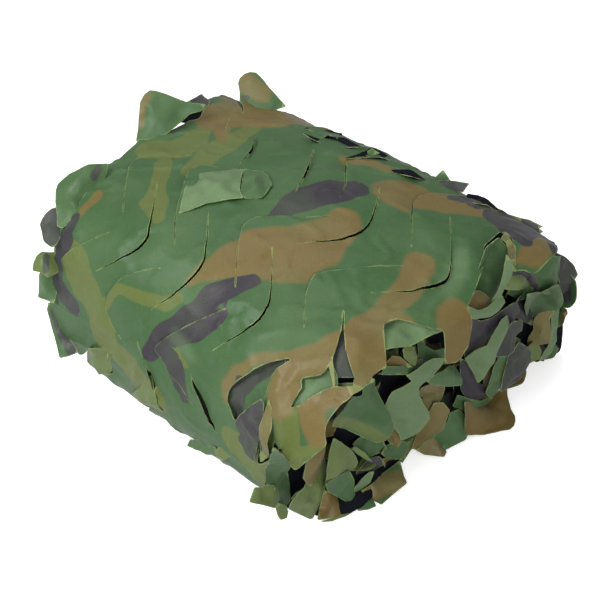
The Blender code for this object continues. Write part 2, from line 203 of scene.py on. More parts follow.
def distance_to_line(places: Array, line: Array) -> Array:
    """Distance from each place to the nearest point of a line.

    Args:
        places: positions, two columns.
        line: corners of the line.

    Returns:
        Distances in metres.
    """
    best = np.full(len(places), 1.0)
    for start, end in zip(line[:-1], line[1:]):
        run = end - start
        share = np.clip((places - start) @ run / (run @ run), 0.0, 1.0)
        gap = np.linalg.norm(start + share[:, None] * run - places, axis=1)
        best = np.minimum(best, gap)
    return best


def smooth_step(value: Array, low: float, high: float) -> Array:
    """Rise from 0 at low to 1 at high, level at both ends."""
    share = np.clip((value - low) / (high - low), 0.0, 1.0)
    return share * share * (3.0 - 2.0 * share)


def unit(vectors: Array) -> Array:
    """Scale every vector to length one."""
    return vectors / np.maximum(np.linalg.norm(vectors, axis=-1, keepdims=True), 1e-9)


# ---------------------------------------------------------------- the camera's view
@dataclass(frozen=True)
class Viewpoint:
    """Where the camera stands, and the sight lines through the pixels of its square picture."""

    azimuth: float = 45.0
    elevation: float = 40.0
    distance: float = 1.232
    lens: float = 85.0
    sensor: float = 36.0
    picture: int = 600
    target: tuple = (0.01012, 0.00425, 0.060)

    def back(self) -> Array:
        """Direction from the target to the camera."""
        turn, rise = math.radians(self.azimuth), math.radians(self.elevation)
        return np.array([math.sin(turn) * math.cos(rise), -math.cos(turn) * math.cos(rise), math.sin(rise)])

    def right(self) -> Array:
        """Direction that runs across the picture."""
        turn = math.radians(self.azimuth)
        return np.array([math.cos(turn), math.sin(turn), 0.0])

    def place(self) -> Array:
        """Where the camera stands."""
        return np.array(self.target) + self.back() * self.distance

    def focal(self) -> float:
        """Focal length in pixels of the picture."""
        return self.lens / self.sensor * self.picture

    def seen(self, places: Array) -> Array:
        """Pixels, across and down the picture, at which places are seen."""
        away = places - self.place()
        depth = -(away @ self.back())
        across = self.focal() * (away @ self.right()) / depth
        down = -self.focal() * (away @ np.cross(self.back(), self.right())) / depth
        return np.stack([across, down], axis=-1) + self.picture / 2

    def sight(self, pixel: Array) -> Array:
        """Unit vector from the camera through a pixel."""
        across, down = (np.array(pixel, dtype=float) - self.picture / 2) / self.focal()
        return unit(across * self.right() - down * np.cross(self.back(), self.right()) - self.back())


# ---------------------------------------------------------------- the print
class Tone(Enum):
    """Colours printed over the green ground, in the order in which they are printed."""

    OLIVE = "olive"
    TAN = "tan"
    DARK = "dark"


@dataclass(frozen=True)
class Stroke:
    """One blot of the print: a chain of (cloth, along, half width) in millimetres."""

    tone: Tone
    chain: tuple

    def distance(self, places: Array) -> Array:
        """Distance from each place to the rim of the blot, negative inside.

        The blot is a band round a line, whose half width changes evenly from mark to mark.

        Args:
            places: flat cloth positions in metres.

        Returns:
            Signed distances in metres.
        """
        marks = np.array(self.chain, dtype=float) * MM
        if len(marks) == 1:
            return np.linalg.norm(places - marks[0, :2], axis=1) - marks[0, 2]
        best = np.full(len(places), 1.0)
        for start, end in zip(marks[:-1], marks[1:]):
            run = end[:2] - start[:2]
            share = np.clip((places - start[:2]) @ run / (run @ run), 0.0, 1.0)
            gap = np.linalg.norm(start[:2] + share[:, None] * run - places, axis=1)
            best = np.minimum(best, gap - start[2] - share * (end[2] - start[2]))
        return best


# blots of the faces that the camera sees: chains of (across, down, half width) in its pixels
SEEN_BLOTS = {
    Tone.OLIVE: (
        ((150, 149, 8), (175, 150, 9), (191, 143, 9), (203, 129, 7), (207, 116, 4)),
        ((163, 164, 9), (160, 182, 8), (154, 203, 12), (158, 217, 9)),
        ((254, 126, 4), (236, 138, 7), (215, 152, 8), (190, 172, 6)),
        (
            (70, 250, 7), (75, 264, 12), (81, 282, 11), (92, 298, 9), (98, 318, 9), (106, 338, 9),
            (116, 352, 7), (133, 372, 7), (146, 384, 6),
        ),
        ((106, 302, 6), (122, 290, 7), (142, 297, 6), (162, 303, 6), (180, 299, 5)),
        ((142, 388, 6), (155, 398, 7)),
        ((232, 441, 8), (246, 456, 9), (262, 474, 9)),
        ((176, 348, 4), (186, 366, 2)),
        ((287, 412, 6), (289, 430, 9), (292, 448, 10), (297, 462, 8)),
        ((306, 452, 6), (320, 446, 4)),
        ((265, 415, 4), (266, 440, 5), (264, 456, 4)),
        ((277, 412, 5), (281, 432, 8), (290, 450, 9), (296, 463, 6)),
    ),
    Tone.TAN: (
        ((216, 120, 12), (236, 113, 12), (262, 113, 10), (300, 118, 6), (332, 130, 4)),
        ((222, 128, 9), (221, 142, 5)),
        ((82, 213, 3), (95, 196, 5)),
        (
            (343, 222, 15), (318, 243, 24), (288, 253, 28), (262, 252, 26), (240, 258, 20), (214, 268, 13),
            (190, 279, 6),
        ),
        (
            (421, 264, 17), (408, 290, 13), (384, 312, 12), (355, 336, 13), (322, 350, 9), (288, 357, 5),
            (262, 357, 4),
        ),
        ((402, 194, 14), (430, 199, 9), (465, 206, 7), (495, 212, 4)),
        ((345, 160, 3), (366, 163, 5), (384, 168, 3)),
        ((228, 398, 4), (228, 385, 6), (236, 370, 7), (252, 360, 6), (280, 357, 5)),
        ((286, 366, 8), (277, 385, 7), (273, 405, 6)),
        ((452, 372, 6), (455, 350, 13), (460, 332, 16), (455, 325, 10)),
        ((444, 322, 3), (470, 318, 4)),
        ((362, 345, 12), (350, 362, 8), (346, 382, 6), (352, 390, 8), (340, 398, 8), (322, 402, 9)),
        ((372, 372, 8), (360, 384, 8)),
        ((313, 404, 12), (312, 420, 14), (318, 436, 10)),
        ((305, 368, 9), (318, 364, 8), (330, 356, 8)),
        ((296, 372, 11), (292, 388, 10), (288, 402, 6)),
        ((519, 262, 5), (530, 255, 14), (543, 245, 10)),
        ((300, 366, 10), (287, 380, 10), (279, 398, 8), (281, 412, 6)),
        ((300, 408, 8), (310, 424, 12), (318, 438, 9)),
    ),
    Tone.DARK: (
        ((270, 216, 2), (290, 206, 8), (312, 197, 11), (335, 192, 12), (352, 189, 8)),
        (
            (254, 281, 7), (235, 287, 11), (212, 298, 11), (196, 311, 11), (180, 325, 12), (158, 338, 13),
            (151, 352, 8),
        ),
        ((229, 310, 2), (214, 320, 7), (195, 333, 9), (176, 340, 8)),
        ((166, 345, 6), (172, 362, 8), (178, 378, 7), (184, 397, 4)),
        ((76, 218, 4), (66, 235, 6), (58, 255, 5), (57, 275, 5), (63, 295, 6), (74, 307, 6)),
        ((452, 199, 2), (472, 203, 3), (502, 211, 2)),
        ((500, 218, 5), (514, 226, 9), (524, 240, 5)),
        ((283, 361, 2), (262, 371, 6)),
        ((240, 385, 6), (240, 400, 7), (246, 412, 8)),
        ((248, 420, 12), (250, 440, 9)),
        ((554, 240, 4), (555, 252, 4)),
    ),
}
# blots past the rim of those faces: chains of (cloth, along, half width) in millimetres
FLAT_BLOTS = {
    Tone.OLIVE: (
    ),
    Tone.TAN: (
        ((338, -206, 18), (368, -204, 10), (400, -208, 6)),
        ((490, -172, 14), (470, -166, 14), (448, -158, 12), (438, -140, 6)),
        ((340, 178, 17), (356, 214, 18)),
        ((228, 146, 14), (262, 168, 14), (300, 160, 10)),
        ((470, 118, 11), (492, 128, 12), (520, 120, 9)),
    ),
    Tone.DARK: (
        ((194, -160, 14), (206, -166, 12)),
        ((455, 150, 9), (476, 152, 8)),
    ),
}


@dataclass(frozen=True)
class WoodlandPrint:
    """Woodland pattern of the cloth, as signed distances to the rims of its three tones.

    The laid out blots fill the main face; past its limits uneven noise carries the pattern
    on, so that no place of the long sheet repeats another.
    """

    blots: tuple
    limits: tuple = (0.095, 0.480, -0.165, 0.215)
    overlap: float = 0.022
    wander: float = 0.0026
    wander_size: float = 0.016
    blot_size: float = 0.052
    fine_size: float = 0.45
    fine_share: float = 0.28
    steepness: float = 0.42
    faced: float = 0.05  # keeps the scattered blots off the main face
    levels: dict = field(default_factory=lambda: {Tone.OLIVE: 0.34, Tone.TAN: 0.30, Tone.DARK: 0.40})

    def scattered(self, places: Array, tone: Tone, bias: Array) -> Array:
        """Signed distance to blots that come from noise.

        The noise is drawn out along a slant; where it is above the tone's level there is a
        blot, and the height over the level is turned into a distance by the blot size.

        Args:
            places: flat positions in metres.
            tone: the printed colour.
            bias: added to the noise, so that more of the tone shows.

        Returns:
            Signed distances in metres.
        """
        order = list(Tone).index(tone)
        slant = np.column_stack([
            places[:, 0] * 0.82 + places[:, 1] * 0.46,
            places[:, 1] * 1.45 - places[:, 0] * 0.52,
        ])
        broad = SoftNoise(self.blot_size, 11 + order).at(slant)
        fine = SoftNoise(self.blot_size * self.fine_size, 31 + order).at(slant)
        return (self.levels[tone] - broad - self.fine_share * fine - bias) * self.blot_size * self.steepness

    def laid_out(self, places: Array, tone: Tone) -> Array:
        """Signed distance to the listed blots, with a slightly wandering rim."""
        drift = np.column_stack([
            SoftNoise(self.wander_size, 51).at(places),
            SoftNoise(self.wander_size, 52).at(places),
        ])
        moved = places + self.wander * drift
        best = np.full(len(places), 0.05)
        for stroke in self.blots:
            if stroke.tone is tone:
                best = np.minimum(best, stroke.distance(moved))
        return best

    def outside(self, places: Array) -> Array:
        """How far the scattered pattern has taken over, 0 on the main face and 1 past it."""
        low_cloth, high_cloth, low_along, high_along = self.limits
        past = np.maximum.reduce([
            low_cloth - places[:, 0],
            places[:, 0] - high_cloth,
            low_along - places[:, 1],
            places[:, 1] - high_along,
        ])
        return smooth_step(past, 0.0, self.overlap)

    def marks(self, places: Array) -> dict:
        """Signed distances of all tones on the flat sheet.

        Args:
            places: flat positions in metres.

        Returns:
            Attribute name to value at each place.
        """
        share = self.outside(places)
        result = {}
        for tone in Tone:
            scattered = self.scattered(places, tone, np.zeros(len(places)))
            scattered = scattered + self.faced * (1.0 - share)
            result["print_" + tone.value] = np.minimum(self.laid_out(places, tone), scattered)
        return result


# ---------------------------------------------------------------- folded section
@dataclass
class FoldedSection:
    """The folded cloth seen from its end, measured along its developed length."""

    reference_depth: float = 0.155
    reference_height: float = 0.170
    smooth_steps: int = 12
    fold_points: int = 9
    layer_points: int = 11
    fold_bulge: float = 0.055
    last_end: float = 0.660
    # (across, up) shares of the outer turn, from its first end round to the lap
    turn: tuple = (
        (-0.500, 0.000), (-0.740, 0.000), (-0.930, 0.075), (-1.000, 0.270), (-0.985, 0.520),
        (-0.900, 0.770), (-0.700, 0.935), (-0.380, 0.990), (0.000, 1.000), (0.400, 0.985),
        (0.700, 0.935), (0.900, 0.800), (0.990, 0.550), (1.000, 0.280), (0.930, 0.080),
        (0.760, 0.000), (0.500, 0.000), (0.000, 0.000), (-0.300, 0.000),
    )
    lap: tuple = ((-0.440, 0.018), (-0.600, 0.020), (-0.740, 0.021))
    # (across, level) of the tight folds, from the bottom up
    fold_places: tuple = (
        (-0.740, 0.100), (0.830, 0.195), (-0.880, 0.290), (0.890, 0.390), (-0.900, 0.490),
        (0.895, 0.590), (-0.870, 0.690), (0.850, 0.790), (-0.790, 0.885),
    )
    # (rise, waves, phase) of the layers
    waves: tuple = (
        (0.012, 3.0, 0.4), (0.020, 2.0, 1.3), (0.022, 3.0, 2.6), (0.018, 4.0, 0.2),
        (0.024, 3.0, 3.9), (0.022, 2.0, 5.1), (0.024, 3.0, 1.0), (0.016, 4.0, 2.2),
        (0.010, 2.0, 0.0),
    )
    line: Array = field(init=False)
    length: Array = field(init=False)
    folds: list = field(init=False)
    layers: list = field(init=False)
    curve_end: float = field(init=False)
    turn_end: float = field(init=False)

    def __post_init__(self) -> None:
        """Work out the line of the section and its developed length."""
        turn = smooth_line(np.array(self.turn), self.smooth_steps)
        turn[:, 1] = np.maximum(turn[:, 1], 0.0)
        pieces = [turn, np.array(self.lap)]
        count = len(turn) + len(self.lap)
        marks = []
        angles = np.linspace(0.0, np.pi, self.fold_points)
        level = 0.0
        ends = [place[0] for place in self.fold_places[1:]] + [self.last_end]
        for (place, next_level), end, wave in zip(self.fold_places, ends, self.waves):
            across = place + np.sign(place) * self.fold_bulge * np.sin(angles)
            levels = level + (next_level - level) * 0.5 * (1.0 - np.cos(angles))
            pieces.append(np.column_stack([across, self.height_of(across, levels, turn)]))
            marks.append((count, count + self.fold_points - 1))
            count += self.fold_points + self.layer_points
            level = next_level
            pieces.append(self.layer_line(place, end, level, wave, turn))
        final = self.height_of(np.array([self.last_end]), np.array([level]), turn)
        pieces.append(np.column_stack([[self.last_end], final]))
        self.line = np.vstack(pieces)
        metres = self.line * np.array([self.reference_depth, self.reference_height])
        steps = np.linalg.norm(np.diff(metres, axis=0), axis=1)
        self.length = np.concatenate([[0.0], np.cumsum(steps)])
        self.folds = [(self.length[first], self.length[last]) for first, last in marks]
        starts = [fold[1] for fold in self.folds]
        self.layers = list(zip(starts, [fold[0] for fold in self.folds[1:]] + [self.length[-1]]))
        self.turn_end = float(self.length[len(turn) - 1])
        tail = slice(len(turn) - 4 * self.smooth_steps, len(turn))
        self.curve_end = float(np.interp(-self.turn[-4][0], -self.line[tail, 0], self.length[tail]))

    def height_of(self, across: Array, level: Array, turn: Array) -> Array:
        """Height share of a level of the stack: evenly between the lap and the outer turn."""
        upper = turn[turn[:, 1] > 0.5]
        ceiling = np.interp(across, upper[:, 0], upper[:, 1])
        floor = self.lap[-1][1]
        return floor + level * (ceiling - floor)

    def layer_line(self, start: float, end: float, level: float, wave: tuple, turn: Array) -> Array:
        """Line of one layer: its level plus a sine ripple that dies out at both folds."""
        rise, waves, phase = wave
        share = np.linspace(0.0, 1.0, self.layer_points + 2)[1:-1]
        across = start + (end - start) * share
        ripple = rise * np.sin(np.pi * share) * np.sin(np.pi * waves * share + phase)
        return np.column_stack([across, self.height_of(across, level, turn) + ripple])

    def across(self, cloth: Array) -> Array:
        """Share across the bundle at a place along the cloth."""
        return np.interp(cloth, self.length, self.line[:, 0])

    def up(self, cloth: Array) -> Array:
        """Share of the height at a place along the cloth."""
        return np.interp(cloth, self.length, self.line[:, 1])

    def outward(self, cloth: Array, reach: float) -> Array:
        """Normal of the cloth in the YZ plane, outward on the outer turn.

        It is square to the chord that joins the places a reach before and a reach after.
        """
        run_y = (self.across(cloth + reach) - self.across(cloth - reach)) * self.reference_depth
        run_z = (self.up(cloth + reach) - self.up(cloth - reach)) * self.reference_height
        return unit(np.column_stack([-run_z, run_y]))


# ---------------------------------------------------------------- slits
@dataclass(frozen=True)
class Slit:
    """One chevron cut, as (cloth, along) marks in millimetres from its rear arm to its front arm.

    heading is the end of the net that the tongue points to, rise the angle in degrees at
    which it stands out, and the gaps are the widths of the two arms in millimetres.
    """

    heading: int
    rise: float
    rear_gap: float
    front_gap: float
    marks: tuple


OPEN = (0.4, 1.0)
SHUT = (0.6, 0.7)
SLITS = (
    Slit(1, 1.3, *OPEN, ((289, -93), (243, -55), (225, -49), (206, -60), (186, -80))),
    Slit(1, 1.3, *OPEN, ((283, -30), (252, -4), (234, 5), (209, 0), (185, -15))),
    Slit(1, 1.3, *OPEN, ((280, 38), (250, 65), (234, 74), (215, 70), (186, 51))),
    Slit(1, 1.3, *OPEN, ((404, 40), (374, 60), (349, 71), (329, 68), (297, 49))),
    Slit(1, 3, *SHUT, ((418, 100), (369, 142), (350, 146), (330, 138), (302, 121))),
    Slit(1, 5, *SHUT, ((405, -90), (378, -70), (355, -62))),
    Slit(1, 5, *SHUT, ((412, -33), (375, -10), (347, 3))),
    Slit(-1, 3.5, *SHUT, ((454, 48), (441, 33), (434, 17), (419, -2), (407, 4), (381, 24), (365, 32))),
    Slit(-1, 3.5, *SHUT, ((476, 88), (438, 72), (421, 68), (403, 74), (364, 106))),
    Slit(-1, 5, *SHUT, ((408, -125), (388, -112))),
    Slit(-1, 3.5, *SHUT, ((338, -102), (307, -128), (294, -131), (279, -121), (242, -86))),
    Slit(-1, 9, 0.7, 1.2, ((359, -36), (330, -72), (315, -79), (289, -64), (267, -49), (239, -25))),
    Slit(-1, 3.5, *SHUT, ((339, 44), (308, 15), (292, 4), (273, 11), (236, 41))),
    Slit(-1, 3.5, *SHUT, ((343, 116), (291, 83), (275, 82), (257, 94), (242, 109))),
    Slit(-1, 6, *SHUT, ((220, -83), (208, -96), (194, -110), (178, -123), (166, -121))),
    Slit(-1, 4, *SHUT, ((217, -23), (205, -40), (190, -53), (168, -62), (152, -58), (143, -44))),
    Slit(-1, 5, *OPEN, ((218, 45), (187, 18), (164, 0), (153, 4), (128, 40))),
    Slit(1, 6, 0.8, 3.0, ((155, 34), (137, 50), (117, 67))),
    Slit(1, 6, 0.6, 1.8, ((151, -24), (127, -6), (92, 2))),
    Slit(1, 6, *OPEN, ((121, -58), (94, -64))),
    Slit(-1, 8, *OPEN, ((467, -53), (456, -63), (442, -76))),
    Slit(1, 8, *OPEN, ((454, -23), (446, -42), (428, -56))),
    Slit(1, 8, *OPEN, ((469, 8), (460, -9), (438, -14))),
    Slit(-1, 58, 2.0, 3.0, (
        (502, -141), (492, -154), (481, -166), (468, -169), (458, -161), (444, -146), (428, -127))),
)
# slit rows of the faces turned away: (cloth, first tip, count, heading, depth)
REAR_ROWS = (
    (0.522, -0.070, 4, -1, 0.034),
    (0.588, -0.104, 5, 1, 0.034),
    (0.062, -0.096, 4, -1, 0.026),
)
ROW_PITCH = 0.068
ROW_REACH = 0.046
# centre line of a regular slit: shares of its reach and of its depth behind the tip
CHEVRON = ((-0.68, 0.66), (-0.22, 0.08), (0.04, 0.00), (0.30, 0.16), (1.00, 1.00))


def rear_slits() -> tuple:
    """Slits of the regular rows, from their rear arm to their front arm."""
    made = []
    for cloth, first, count, heading, depth in REAR_ROWS:
        for column in range(count):
            tip = first + column * ROW_PITCH
            marks = [
                ((cloth + heading * run * ROW_REACH) / MM, (tip - heading * back * depth) / MM)
                for run, back in CHEVRON
            ]
            marks.sort(reverse=True)
            made.append(Slit(heading, 8.0, *OPEN, tuple(marks)))
    return tuple(made)


@dataclass
class CutSlit:
    """A slit worked out on the flat cloth: its centre line, its opening and its tongue."""

    slit: Slit
    step: float = 0.003
    taper: float = 0.55
    support_rows: tuple = (0.0030, 0.0064)  # distances from the cut
    rise_power: float = 1.4
    # (height, spread) of the cloth beside the cut: inside the tongue and past its edge
    lip: tuple = (0.0008, 0.006)
    edge: tuple = (0.0024, 0.008)
    # a cut that is too short to have arms: depth of its tongue, rise and sink of its sides, spread
    straight_depth: float = 0.016
    straight_rise: float = 0.0022
    straight_sink: float = 0.0012
    straight_spread: float = 0.010
    centre: Array = field(init=False)
    ring: Array = field(init=False)

    def __post_init__(self) -> None:
        """Smooth the centre line and widen it into the opening.

        The opening is the centre line moved to both sides by half the gap, which passes
        evenly from the rear gap to the front gap and tapers to nothing at both ends.
        """
        marks = np.array(self.slit.marks, dtype=float) * MM
        curve = smooth_line(marks, 8)
        run = np.concatenate([[0.0], np.cumsum(np.linalg.norm(np.diff(curve, axis=0), axis=1))])
        count = max(5, int(run[-1] / self.step))
        even = np.linspace(0.0, run[-1], count)
        self.centre = np.column_stack([np.interp(even, run, curve[:, k]) for k in range(2)])
        share = even / run[-1]
        gap = self.slit.rear_gap + (self.slit.front_gap - self.slit.rear_gap) * share
        half = 0.5 * gap * MM * np.sin(np.pi * share) ** self.taper
        side = self.side()
        outer = self.centre + side * half[:, None]
        inner = self.centre - side * half[:, None]
        self.ring = np.vstack([outer, inner[-2:0:-1]])

    def side(self) -> Array:
        """Unit vector square to the centre line, away from the tongue."""
        run = unit(np.gradient(self.centre, axis=0))
        across = np.column_stack([-run[:, 1], run[:, 0]])
        middle = 0.5 * (self.centre[0] + self.centre[-1])
        outward = self.centre[len(self.centre) // 2] - middle
        if len(self.slit.marks) <= 3:
            outward = np.array([0.0, float(self.slit.heading)])
        return across * np.sign(across[len(across) // 2] @ outward)

    def support(self) -> Array:
        """Points of the cloth in rows beside the slit, where it needs a finer mesh."""
        side = self.side()
        rows = []
        for offset in self.support_rows:
            rows += [self.centre[1:-1] + side[1:-1] * reach for reach in (offset, -offset)]
        return np.vstack(rows)

    def lift(self, places: Array) -> Array:
        """Height of the cloth over its rest place, round this slit.

        Inside the tongue the cloth rises with the share of its depth from the line that
        joins the two ends of the slit, to the power 1.4; outside, it sinks a little next
        to the cut and comes back level within a centimetre.

        Args:
            places: flat positions in metres.

        Returns:
            Heights in metres.
        """
        start, end = self.centre[0], self.centre[-1]
        chord = unit(end - start)
        toward = np.array([-chord[1], chord[0]])
        middle = self.centre[len(self.centre) // 2]
        if len(self.slit.marks) <= 3:
            toward = toward * np.sign(toward[1] * self.slit.heading + 1e-9)
            depth = self.straight_depth
        else:
            toward = toward * np.sign(toward @ (middle - start) + 1e-9)
            depth = float(((self.centre - start) @ toward).max())
        height = depth * math.sin(math.radians(self.slit.rise))
        past = np.clip((places - start) @ toward / depth, 0.0, 1.0)
        result = np.zeros(len(places))
        reach = float(np.ptp(self.centre, axis=0).max())
        near = np.linalg.norm(places - middle, axis=1) < reach + 0.03
        gap = distance_to_line(places[near], self.centre)
        if len(self.slit.marks) <= 3:
            ends = np.clip((places[near] - start) @ chord / np.linalg.norm(end - start), 0.0, 1.0)
            hump = np.sin(np.pi * ends)
            within = (places[near] - middle) @ toward < 0.0
            height = np.where(within, self.straight_rise, -self.straight_sink)
            result[near] = height * hump * np.exp(-(gap / self.straight_spread) ** 2)
            return result
        within = inside(places[near], self.centre)
        rise = height * past[near] ** self.rise_power - self.lip[0] * np.exp(-(gap / self.lip[1]) ** 2)
        sink = -self.edge[0] * np.exp(-(gap / self.edge[1]) ** 2) * past[near]
        result[near] = np.where(within, rise, sink)
        return result


# ---------------------------------------------------------------- flat cutting pattern
class LeafForm(Enum):
    """Outlines of the leaves cut along the ends: shares of the width and of the length."""

    ROUND = ((0.00, 0.00), (0.00, 0.55), (0.16, 0.98), (0.62, 1.02), (0.98, 0.74), (1.00, 0.00))
    POINTED = ((0.00, 0.00), (0.10, 0.50), (0.36, 1.06), (0.62, 0.92), (0.92, 0.36), (1.00, 0.00))
    SHORT = ((0.00, 0.00), (0.10, 0.62), (0.45, 1.04), (0.86, 0.66), (1.00, 0.00))
    FLAP = ((0.00, 0.00), (-0.05, 0.70), (0.10, 1.05), (0.34, 0.98), (0.78, 0.62), (1.02, 0.58),
            (0.98, 0.20), (1.00, 0.00))


@dataclass(frozen=True)
class EndLeaf:
    """A leaf cut along an end of the sheet; turn is its bend inward in degrees."""

    start: float
    width: float
    root: float
    length: float
    lean: float
    turn: float
    form: LeafForm


RIGHT_LEAVES = (
    EndLeaf(0.012, 0.044, 0.122, 0.012, 0.00, 0.0, LeafForm.SHORT),
    EndLeaf(0.526, 0.048, 0.150, 0.028, 0.05, 2.0, LeafForm.ROUND),
    EndLeaf(0.588, 0.044, 0.150, 0.018, 0.05, 6.0, LeafForm.SHORT),
    EndLeaf(0.644, 0.042, 0.150, 0.018, 0.00, 0.0, LeafForm.SHORT),
    EndLeaf(0.690, 0.052, 0.146, 0.018, -0.05, 0.0, LeafForm.ROUND),
    EndLeaf(0.750, 0.044, 0.142, 0.016, 0.05, 0.0, LeafForm.POINTED),
    EndLeaf(0.808, 0.052, 0.132, 0.014, 0.00, 0.0, LeafForm.ROUND),
)
LEFT_LEAVES = (
    EndLeaf(0.012, 0.042, -0.122, 0.022, 0.00, 0.0, LeafForm.SHORT),
    EndLeaf(0.536, 0.042, -0.192, 0.028, 0.05, 6.0, LeafForm.SHORT),
    EndLeaf(0.590, 0.044, -0.184, 0.026, 0.00, 4.0, LeafForm.SHORT),
    EndLeaf(0.646, 0.048, -0.176, 0.022, 0.00, 0.0, LeafForm.SHORT),
    EndLeaf(0.706, 0.050, -0.166, 0.028, 0.05, 0.0, LeafForm.POINTED),
    EndLeaf(0.770, 0.046, -0.152, 0.024, 0.00, 0.0, LeafForm.SHORT),
)
# cut edge at +X, from the floor up: (across, down) in pixels of the camera's picture
SEEN_RIGHT_EDGE = (
    (281, 506), (278, 500), (276, 490), (270, 484), (272, 470), (272.5, 459), (268, 460), (262, 464),
    (257.5, 463), (258, 452), (261, 430), (263.5, 402), (250, 411), (235, 421), (231, 412), (228, 402),
    (228, 395), (230, 388), (238, 380), (249, 373), (262, 365), (275, 361), (289, 358.5), (290, 360.5),
    (280, 366.5), (272, 375), (267.5, 385), (265.5, 400), (262.5, 430), (259.5, 460), (262, 462),
    (269, 456), (272, 450), (274, 440), (281, 452), (288, 463), (296, 471), (310, 459), (327, 445),
    (325, 436), (326, 425), (332, 415), (340, 406), (350, 397), (368, 385), (375, 381), (371, 377),
    (380, 370), (386, 368), (385.5, 350), (384, 324), (390, 321), (400, 320), (415, 324), (432, 329),
    (444, 331), (444.5, 350), (445, 363), (450, 364.5), (457, 362), (463, 355), (468, 346), (471, 335),
    (472, 322), (470, 313), (466, 308), (472, 296), (479, 280), (485, 262), (490, 250), (499, 236),
    (505, 231.5), (511, 238), (514.5, 248), (515, 256), (511, 271), (524, 271), (537, 273), (551, 258),
    (558, 252), (556, 240), (543, 232),
)
# torn holes in the outer turn near that edge
SEEN_HOLES = (
    (
        (303, 378), (315, 376.5), (322, 373.5), (328.5, 366), (331, 375), (333, 386), (322, 390.5),
        (310, 398), (299, 405), (290, 408), (295.5, 399), (302, 388),
    ),
    (
        (343, 310), (341.5, 330), (338, 345), (332, 361), (334, 372), (334, 386), (345, 387), (353, 386),
        (354, 378), (350, 366), (346, 350), (343.5, 330),
    ),
)
# cut edge at -X, from the floor up
SEEN_LEFT_EDGE = (
    (113, 373), (110, 361), (108, 350), (97, 347), (88, 350), (84, 355), (79, 354), (70, 345), (62, 333),
    (60, 325), (53, 310), (50, 302), (51, 290), (52, 280), (53, 268), (54, 256), (54, 248), (57, 238),
    (61, 229), (70, 220), (77, 209), (81, 200), (88, 191), (93, 184), (98, 180), (101, 172), (104, 165),
    (112, 164), (120, 158), (129, 150), (136, 144), (139, 139), (150, 139), (165, 134), (178, 127),
    (188, 121), (200, 118), (204, 108), (206, 100),
)
# (width, gap, length, lean, turn, form) of the leaves of the inner layers, taken in turn
LAYER_LEAVES = (
    (0.048, 0.012, 0.030, 0.05, -8.0, LeafForm.POINTED),
    (0.042, 0.014, 0.024, -0.05, 8.0, LeafForm.ROUND),
    (0.052, 0.012, 0.034, 0.05, 2.0, LeafForm.ROUND),
    (0.038, 0.012, 0.028, 0.10, 12.0, LeafForm.SHORT),
    (0.046, 0.012, 0.022, -0.05, -8.0, LeafForm.POINTED),
)
# (setback, turn) at the right end and at the left end of each inner layer
LAYER_ENDS = (
    (-0.004, 4.0, 0.004, 2.0), (0.010, 14.0, 0.014, 8.0), (0.002, 22.0, 0.008, 14.0),
    (0.014, 20.0, 0.014, 12.0), (0.006, 18.0, 0.004, 10.0), (0.016, 26.0, 0.018, 16.0),
    (0.008, 32.0, 0.010, 14.0), (0.018, 30.0, 0.020, 20.0), (0.026, 36.0, 0.018, 18.0),
)
INNER_ENDS = {1: (0.118, 0.138), -1: (-0.128, -0.178)}


@dataclass(frozen=True)
class Layout:
    """What the camera's view lays out on the flat sheet, with marks in whole millimetres."""

    right_edge: tuple
    left_edge: tuple
    holes: tuple
    pleats: tuple
    # strokes of painted sheen
    sheen_and_wear: tuple
    blots: tuple


